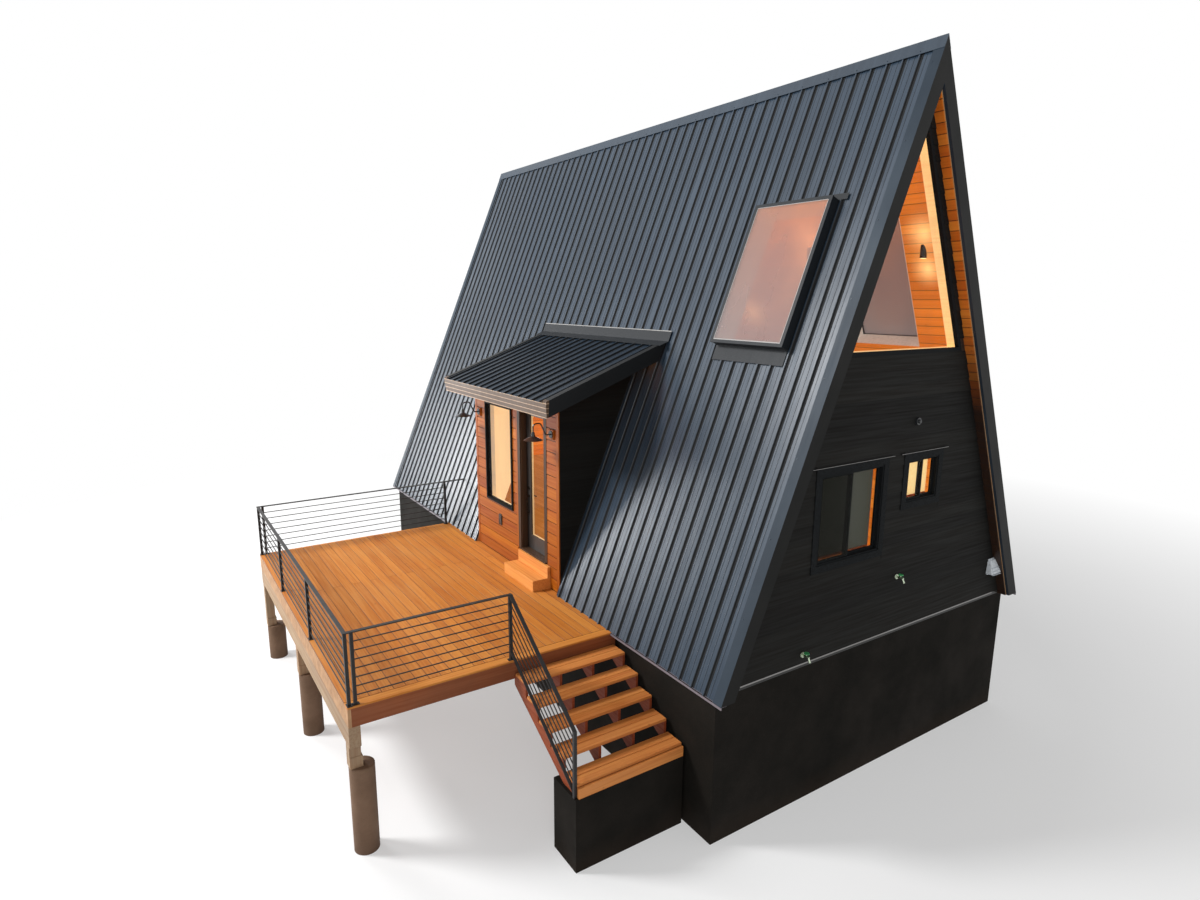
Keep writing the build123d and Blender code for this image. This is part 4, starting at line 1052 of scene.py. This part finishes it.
for face, place in gable_frames.items():
    siding = blank()
    holes = window_boxes(face)
    for index in range(math.ceil((gable_high.z - siding_foot) / course)):
        low = siding_foot + index * course
        high = min(low + course, gable_high.z - lap - 0.02)
        if high <= low:
            continue
        if low < sill < high:
            high = sill - lap
        if low < sill:
            course_under_sill(siding, place, low, high, holes)
        elif window_edge(low) > 0.02:
            lapped(siding, place, low, high, lambda z: (-roof_edge(z), -window_edge(z)))
            lapped(siding, place, low, high, lambda z: (window_edge(z), roof_edge(z)))
        else:
            lapped(siding, place, low, high, lambda z: (-tip(z), tip(z)))
    piece("gable_siding_" + face, siding, black_boards)

strip_reach, strip_thick = 2.74, 0.014
strips = blank()
for face, place in gable_frames.items():
    low_corner = (-strip_reach, siding_foot - 0.022, 0.0)
    brick(strips, place, low_corner, (strip_reach, siding_foot - 0.004, strip_thick))
    for low, high, start, end in window_boxes(face):
        corner = (end + cap_reach, high + cap_thick + 0.0005, cap_depth + 0.0012)
        brick(strips, place, (start - cap_reach, high - 0.0005, cap_depth), corner)
piece("gable_flashings", strips, flashing_steel)

# %% [markdown]
# The entry wall under the small roof is clad in cedar, with broad upright boards at its corners and
# beside the door. Its boards leave a narrow dark channel between them. The courses run behind the
# trims, so the rows are cut at every trim, window and lamp block. The cheeks that close the bay
# against the slope are black, like the gables.

# %% Entry siding
corner_trim = 0.080
side_trim = 0.051
porch_under = 0.165
entry_course = 0.19
entry_foot = 0.01
channel = 0.015
board_foot, board_head = 0.016, 0.014
trim_thick = 0.019
entry_place = frame_at(spot(entry_low.x, 0, 0), (0, 1, 0), (0, 0, 1), (-1, 0, 0))
door_low, door_high = reach("door_frame")
window_low, window_high = reach("entry_window_frame")
steps_low, steps_high = reach("entry_steps")
soffit_drop = porch_under / math.cos(porch_pitch)
siding_top = porch_top - soffit_drop + (entry_low.x - porch_edge) * math.tan(porch_pitch)
trims = [
    (0.0, siding_top, entry_low.y, entry_low.y + corner_trim),
    (0.0, siding_top, entry_high.y - corner_trim, entry_high.y),
    (steps_high.z, door_high.z, door_high.y, door_high.y + side_trim),
]
openings = [
    (door_low.z, door_high.z, door_low.y, door_high.y),
    (window_low.z, window_high.z, window_low.y, window_high.y),
    (0.0, steps_high.z, steps_low.y, steps_high.y),
]
openings += [(low.z, high.z, low.y, high.y) for low, high in solid_boxes("lamp_blocks")]

entry_boards = blank()
for index in range(math.ceil((siding_top - entry_foot) / entry_course)):
    low = entry_foot + index * entry_course
    high = min(low + entry_course, siding_top)
    for foot, head, first, last in free_rows(low, high, entry_low.y, entry_high.y, openings + trims):
        top = (first, last, head - channel, board_head)
        plank(entry_boards, entry_place, (first, last, foot, board_foot), top)
piece("entry_siding", entry_boards, cedar)

entry_trims = blank()
for low, high, first, last in trims:
    brick(entry_trims, entry_place, (first, low + 0.005, 0), (last, high - 0.002, trim_thick))
piece("entry_trims", entry_trims, cedar_upright, edge=0.002)

cheek_ends = (entry_low.x, -1.3)
cheek_courses = 22
cheeks = blank()
for across, out in ((entry_low.y, -1), (entry_high.y, 1)):
    place = frame_at(spot(0, across, 0), (1, 0, 0), (0, 0, 1), (0, out, 0))
    for low in [index * course for index in range(cheek_courses)]:
        plank(cheeks, place, (*cheek_ends, low, 0.015), (*cheek_ends, low + course + lap, feather))
clear = 0.002
slope_out = Vector((-math.sin(pitch), 0, math.cos(pitch)))
trim_off(cheeks, spot(-half_width, 0, 0) + slope_out * clear, -slope_out)
under_porch = spot(porch_edge, 0, porch_top) - Vector(porch_out) * (porch_under + clear)
trim_off(cheeks, under_porch, Vector(porch_out))
piece("cheek_siding", cheeks, black_boards)

# %% [markdown]
# The deck is laid with long boards a finger's width apart, framed by one board along its front edge.
# The solid slab hides and these boards stand in for it. Two screws fix each board on every joist.

# %% Deck boards
deck_thick = deck_high.z - deck_low.z
board_pitch = 0.150
board_gap = 0.005
border = 0.140
joist_gap = 0.406
joint_joist = 9
end_gap = 0.003
screw_inset = 0.028
deck_boards = blank()
deck_screws = blank()
wide = deck_high.x - deck_low.x
count = round(wide / board_pitch)
step = wide / count
first_y = deck_low.y + border + board_gap
joist_count = int((deck_high.y - first_y) / joist_gap) + 1
joists = [first_y + 0.05 + index * joist_gap for index in range(joist_count)]
for index in range(count):
    start = deck_low.x + index * step
    stops = [first_y, deck_high.y]
    if index % 2:
        stops.insert(1, first_y + joint_joist * joist_gap)
    for near, far in zip(stops, stops[1:]):
        brick(deck_boards, level, (start, near, -deck_thick), (start + step - board_gap, far - end_gap, 0))
    for y in joists:
        for x in (start + screw_inset, start + step - board_gap - screw_inset):
            rod(deck_screws, level, (x, y, -0.001), (x, y, 0.0006), 0.0045, 6)
piece("deck_boards", deck_boards, deck_wood, hides=["deck_surface"], edge=0.003)

deck_border = blank()
brick(deck_border, level, (deck_low.x, deck_low.y, -deck_thick), (deck_high.x, deck_low.y + border, 0))
piece("deck_border", deck_border, deck_wood_across, edge=0.003)
piece("deck_screws", deck_screws, bronze)

# %% [markdown]
# Sawn timber has slightly rounded edges, which catch a line of light. The treads, stringers, posts,
# beam, steps and lamp blocks are right in shape, so each is replaced by its own welded copy with a
# small bevel, which also lets each board carry its own number.

# %% Sawn timber
for name, source, finish, slot, edge in (
    ("treads", "stair_treads", tread_wood, "deck_wood", 0.004),
    ("stringers", "stair_stringers", stringer_wood, "deck_wood", 0.003),
    ("bottom_riser", "stair_riser", tread_wood, "deck_wood", 0.002),
    ("posts", "deck_posts", post_wood, "beam_wood", 0.005),
    ("beam", "deck_beam", beam_wood, "beam_wood", 0.005),
    ("steps", "entry_steps", step_wood, "cedar", 0.003),
    ("lamp_boards", "lamp_blocks", cedar_upright, "cedar", 0.003),
):
    mesh = merged(source)
    mesh.faces.layers.float.new("board")
    for corners in solids_in(mesh):
        number(mesh, corners)
    piece(name, mesh, finish, hides=[source], edge=edge)

# %% [markdown]
# Each post of the railing stands on a steel plate. Two bolts hold the plate to the deck, one on each
# side of the post, with a washer and a rounded nut.

# %% Railing bolts
plate_reach = 0.16
bolt_inset = 0.011
bolts = blank()
for source in ("rail_left", "rail_front", "rail_back"):
    mesh = merged(source)
    feet = [corner.co - origin for corner in mesh.verts if 0.004 < corner.co.z - deck_z < 0.012]
    mesh.free()
    plates = []
    for foot in feet:
        near = next((plate for plate in plates if (plate[0] - foot).length < plate_reach), None)
        if near:
            near.append(foot)
        else:
            plates.append([foot])
    for low, high in map(box_of, plates):
        centre, span = (low + high) / 2, high - low
        x_way = span.x > span.y
        offset = max(span.x, span.y) / 2 - bolt_inset
        for away in (-offset, offset):
            x, y = centre.x + away * x_way, centre.y + away * (not x_way)
            rod(bolts, level, (x, y, high.z), (x, y, high.z + 0.002), 0.009, 10)
            rod(bolts, level, (x, y, high.z), (x, y, high.z + 0.009), 0.006, 6, 0.005)
piece("rail_bolts", bolts, rail_black)

# %% [markdown]
# Small fittings sit on the front gable: a dryer hood, two taps, a lamp socket, and an outlet cover
# under the entry window. A hood is a wedge with open flaps, a tap is a few short rods and a wheel.

# %% Fittings on the walls
front_place = gable_frames["front"]
face = butt
hood = blank()
hood_x, hood_z = 2.62, 0.53
flange = (hood_x - 0.10, hood_x + 0.10)
plank(hood, front_place, (*flange, hood_z - 0.13, face + 0.012), (*flange, hood_z + 0.13, face + 0.012))
mouth = (hood_x - 0.13, hood_x + 0.13, hood_z - 0.10, 0.115)
plank(hood, front_place, mouth, (hood_x - 0.085, hood_x + 0.085, hood_z + 0.11, 0.045))
for index in range(3):
    low, out = hood_z - 0.115 + index * 0.052, 0.132 - index * 0.017
    ends = (hood_x - 0.105, hood_x + 0.105)
    plank(hood, front_place, (*ends, low, out), (*ends, low + 0.006, out), 0.04)
piece("dryer_hood", hood, vent_white, edge=0.004)


def tap(mesh, wheel, x, z, size=1.2):
    """A wall tap: a collar, a body, a spout that points down and a hand wheel."""
    def at(aside, up, out):
        return x + aside * size, z + up * size, face + out * size
    rod(mesh, front_place, (x, z, face - 0.008), (x, z, face + 0.006), 0.034 * size, 20, 0.030 * size)
    rod(mesh, front_place, at(0, 0, 0), at(0, 0, 0.085), 0.012 * size, 14)
    rod(mesh, front_place, at(0, 0.005, 0.07), at(0, -0.05, 0.10), 0.012 * size, 14)
    rod(mesh, front_place, at(0, 0, 0.05), at(0, 0.035, 0.05), 0.006 * size, 10)
    for angle in [turn * math.pi / 3 for turn in range(6)]:
        rim = at(0.028 * math.cos(angle), 0.038, 0.05 + 0.028 * math.sin(angle))
        rod(wheel, front_place, at(0, 0.038, 0.05), rim, 0.004 * size, 8)
    rod(wheel, front_place, at(0, 0.034, 0.05), at(0, 0.042, 0.05), 0.030 * size, 18)


taps, wheels = blank(), blank()
tap(taps, wheels, 0.18, 0.86)
tap(taps, wheels, -1.66, 0.18)
piece("taps", taps, tap_metal, smooth=True)
piece("tap_wheels", wheels, tap_green, smooth=True)

fixtures = blank()
x, z = 0.33, 3.05
rod(fixtures, front_place, (x, z, face - 0.008), (x, z, face + 0.025), 0.055, 24, 0.050)
rod(fixtures, front_place, (x, z, face + 0.025), (x, z, face + 0.05), 0.030, 20, 0.022)
brick(fixtures, entry_place, (5.98, 0.60, 0.004), (6.10, 0.78, 0.034), taper=0.006)
brick(fixtures, entry_place, (5.99, 0.785, 0.004), (6.09, 0.80, 0.026))
piece("fixtures", fixtures, lamp_black, edge=0.002)

# %% [markdown]
# Behind the panes of the two front sliders hang blinds. They close the openings just inside the frames, so
# the reveals still show beside them. The large one is grey and gives off a little painted light, with an
# insect screen over its left sash, and the small one is cream and gives off more, painted light of the
# room behind it.

# %% Blinds and insect screen
slat = 0.024
panes = [(low, high) for low, high in solid_boxes("window_glass_front") if high.z < 3]
for name, finish, group in (
    ("large_blind", blind_grey, [pair for pair in panes if pair[1].x < 0]),
    ("small_blind", blind_lit, [pair for pair in panes if pair[0].x > 0]),
):
    low, high = box_of([corner for pair in group for corner in pair])
    ends = (low.x - 0.02, high.x + 0.02)
    slats = blank()
    for index in range(math.ceil((high.z - low.z) / slat)):
        foot = low.z - 0.01 + index * slat
        plank(slats, front_place, (*ends, foot, -0.1305), (*ends, foot + slat * 1.05, -0.129), -0.134)
    piece(name, slats, finish)

screen_mesh = Finish("insect_screen", alpha=0.6, roughness=0.8, specular_ior_level=0.1)
screen_mesh.set(base_color=screen_mesh.mix(screen_mesh.noise(3, 4), (18, 18, 16), (30, 30, 27)))
screen = blank()
low, high = panes[0]
screen_low = (low.x - 0.004, low.z - 0.004, gable_low.y - low.y + 0.012)
brick(screen, front_place, screen_low, (high.x + 0.004, high.z + 0.004, screen_low[2] + 0.0015))
piece("insect_screen", screen, screen_mesh)

# %% [markdown]
# Inside each lamp shade sits a bulb in its holder, which shows from below. A wall light in the loft is a
# short tube that is open at both ends, where glowing discs throw light up and down the boards; the bright
# pools on the boards around it are painted light in the pine finish.

# %% Bulbs and wall lights
lamps = solid_boxes("barn_lights")
shade_low = min(low.z for low, high in lamps)
bulbs, holders = blank(), blank()
for low, high in lamps:
    x, y = low.x + 0.15, (low.y + high.y) / 2
    globe = level @ Matrix.Translation((x, y, shade_low + 0.050))
    made = bmesh.ops.create_uvsphere(bulbs, u_segments=20, v_segments=12, radius=0.030, matrix=globe)
    number(bulbs, made["verts"])
    rod(holders, level, (x, y, shade_low + 0.070), (x, y, shade_low + 0.115), 0.018, 16)
for place in map(Matrix.Translation, wall_lights):
    rod(holders, place, (0, 0, -0.09), (0, 0, 0.09), 0.045, 24)
    rod(holders, place, (0, 0, 0), (0.06, 0, 0), 0.018, 12)
    for end in (0.091, -0.091):
        rod(bulbs, place, (0, 0, end), (0, 0, end + math.copysign(0.002, end)), 0.040, 24)
piece("bulbs", bulbs, warm_bulb, smooth=True)
piece("lamp_holders", holders, lamp_black, smooth=True)

# %% [markdown]
# The skylights have a thin pale frame around the pane and white boards down their wells, so that what
# little light comes in is spread over the room. The well boards also glow a little: painted light.

# %% Skylight frames and wells
well_low, well_high = -0.235, 0.08
wells, bars = blank(), blank()
near, far = glass_low.y, glass_high.y
foot, head = skylight_v[0] + curb_board, skylight_v[1] - curb_board
thick = 0.008
rim = 0.132
for surface in (slope(left), slope(right)):
    for y in (near, far - thick):
        brick(wells, surface, (y, foot, well_low), (y + thick, head, well_high))
    for v in (foot, head - thick):
        brick(wells, surface, (near, v, well_low), (far, v + thick, well_high))
    for y in (near - 0.006, far - 0.002):
        brick(bars, surface, (y, foot - 0.006, rim - 0.004), (y + 0.008, head + 0.006, rim))
    for v, wide in ((foot - 0.012, 0.014), (head - 0.002, 0.008)):
        brick(bars, surface, (near - 0.006, v, rim - 0.004), (far + 0.006, v + wide, rim))
piece("skylight_wells", wells, well_paint)
piece("skylight_bars", bars, flashing_steel)

# %% [markdown]
# Inside the peak window broad pale boards line the opening, from the pane to the face of the room.
# Two of them follow the slopes and meet at the top, so each is a long box in the frame of its slope
# that is cut along the ridge plane and at the sill.

# %% Jambs of the peak window
jamb_boards = [(255, 222, 160), (250, 210, 140)]
# Painted light: the jamb boards give off their own colour.
jamb_paint = Wood("jamb_boards", jamb_boards, along_y, 0.15, 0.0, emission_strength=0.75)
jamb_paint.surface(0.4, 0.55, 0.2, 0.001)
jamb_paint.set(emission_color=jamb_paint.colour)
jamb_thick = 0.058
jamb_foot = 3.9
jamb_depth = wall_depth + triangle_margin + jamb_thick
near, far = 0.2145, 0.33
jambs = blank()
for side in (left, right):
    board = blank()
    top = (far, slope_length, jamb_thick - jamb_depth)
    brick(board, slope(side), (near, jamb_foot, -jamb_depth), top)
    trim_off(board, origin, (-side, 0, 0))
    trim_off(board, spot(0, 0, sill), (0, 0, -1))
    made = bpy.data.meshes.new("jamb")
    board.to_mesh(made)
    board.free()
    jambs.from_mesh(made)
brick(jambs, level, (-1.13, near, sill), (1.13, far, sill + 0.057))
piece("peak_jambs", jambs, jamb_paint)

# %% [markdown]
# The boards of both slopes meet on a beam-like trim under the ridge. It shows only as a thin line,
# but it closes the joint that the eye looks for.

# %% Ridge trim
ridge_trim = blank()
trim_ends = (0.34, length - 0.34)
peak_z = ridge_rise - wall_depth / math.cos(pitch)
for out in (1, -1):
    place = frame_at(origin, (0, 1, 0), (0, 0, 1), (out, 0, 0))
    edges = [(*trim_ends, z, half_at(z, wall_depth)) for z in (peak_z - 0.12, peak_z - 0.02)]
    plank(ridge_trim, place, *edges)
piece("ridge_trim", ridge_trim, pine)

# %% [markdown]
# The camera stands where the picture of the cabin was taken from: off the front corner on the deck
# side, a little above the deck, looking slightly down. A wide lens takes in the peak and the feet.

# %% Camera
view_point = spot(-8.593, -5.716, 4.659)
view_turn = math.radians(33.0)
view_dip = math.radians(-11.71)
view_roll = 0.00477
camera = bpy.data.objects.new("camera", bpy.data.cameras.new("camera"))
camera.data.lens = 22.02
camera.data.sensor_width = 36
camera.data.sensor_fit = "HORIZONTAL"
camera.data.clip_end = 500
upright = Matrix.Rotation(-view_turn, 4, "Z") @ Matrix.Rotation(math.pi / 2 + view_dip, 4, "X")
camera.matrix_world = Matrix.Translation(view_point) @ upright @ Matrix.Rotation(view_roll, 4, "Z")
bpy.context.scene.collection.objects.link(camera)
bpy.context.scene.camera = camera
print("camera at", [round(value, 2) for value in view_point])

# %% [markdown]
# Studio light: a large soft lamp and a low one from the deck side, a weaker one from the front, and
# an even sky. The sky looks white to the camera, and to mirrors and glass, but lights the cabin less
# than that.


# %% Lamps and sky
def soft_lamp(name, place, size, watts):
    lamp = bpy.data.objects.new(name, bpy.data.lights.new(name, "AREA"))
    lamp.data.shape = "DISK"
    lamp.data.size = size
    lamp.data.energy = watts
    aim = (middle - place).to_track_quat("-Z", "Y").to_matrix().to_4x4()
    lamp.matrix_world = Matrix.Translation(place) @ aim
    bpy.context.scene.collection.objects.link(lamp)


middle = spot(0, length / 2, 2)
soft_lamp("key_light", spot(-20, 13, 17), 6, 6600)
soft_lamp("low_light", spot(-15, 27, 5), 8, 3600)
soft_lamp("front_light", spot(-14, -16, 12), 10, 800)

world = bpy.data.worlds.new("studio")
bpy.context.scene.world = world
world.use_nodes = True
sky = Nodes(world.node_tree)
rays = [f"Is {kind} Ray" for kind in ("Camera", "Glossy", "Transmission")]
direct, mirrored, through = (sky.node("ShaderNodeLightPath", output=ray) for ray in rays)
seen = direct.math("MAXIMUM", direct.math("MAXIMUM", direct, mirrored), through)
background = world.node_tree.nodes["Background"].inputs
background["Color"].default_value = (1, 1, 1, 1)
sky.feed(background["Strength"], sky.spread(seen, 0, 1, 0.38, 1.0))
bpy.context.scene.view_settings.view_transform = "Standard"
print("sky and", len(bpy.data.lights), "lamps")

# %% [markdown]
# The floor is one large plane. Near the cabin it is pale paint that takes soft shadows, and with the
# distance it fades to an even glow, so that it ends without a line.

# %% Floor
floor_half = 120
fade_from, fade_to = 8, 20
floor_mesh = bmesh.new()
bmesh.ops.create_grid(floor_mesh, x_segments=1, y_segments=1, size=floor_half)
floor = bpy.data.objects.new("floor", bpy.data.meshes.new("floor"))
floor_mesh.to_mesh(floor.data)
floor_mesh.free()
floor_paint = Finish("floor_paint", roughness=0.95)
mottled = floor_paint.clouds(0.3, 0.7, 0.4)
floor_paint.set(base_color=floor_paint.mix(mottled, (0.84, 0.84, 0.84, 1), (0.86, 0.86, 0.86, 1)))
away = floor_paint.away_from((ridge_x, front_y + length / 2, 0))
bright = floor_paint.node("ShaderNodeEmission", None, {"Color": (1, 1, 1, 1), "Strength": 1.0})
painted = Wire(floor_paint, floor_paint.shader.outputs[0])
inputs = {0: floor_paint.spread(away, fade_from, fade_to, 0.4, 1), 1: painted, 2: bright}
faded = floor_paint.node("ShaderNodeMixShader", None, inputs)
floor_paint.feed(floor_paint.tree.nodes["Material Output"].inputs["Surface"], faded)
floor.data.materials.append(floor_paint.material)
bpy.context.scene.collection.objects.link(floor)
print("floor fades from", fade_from, "to", fade_to, "m")
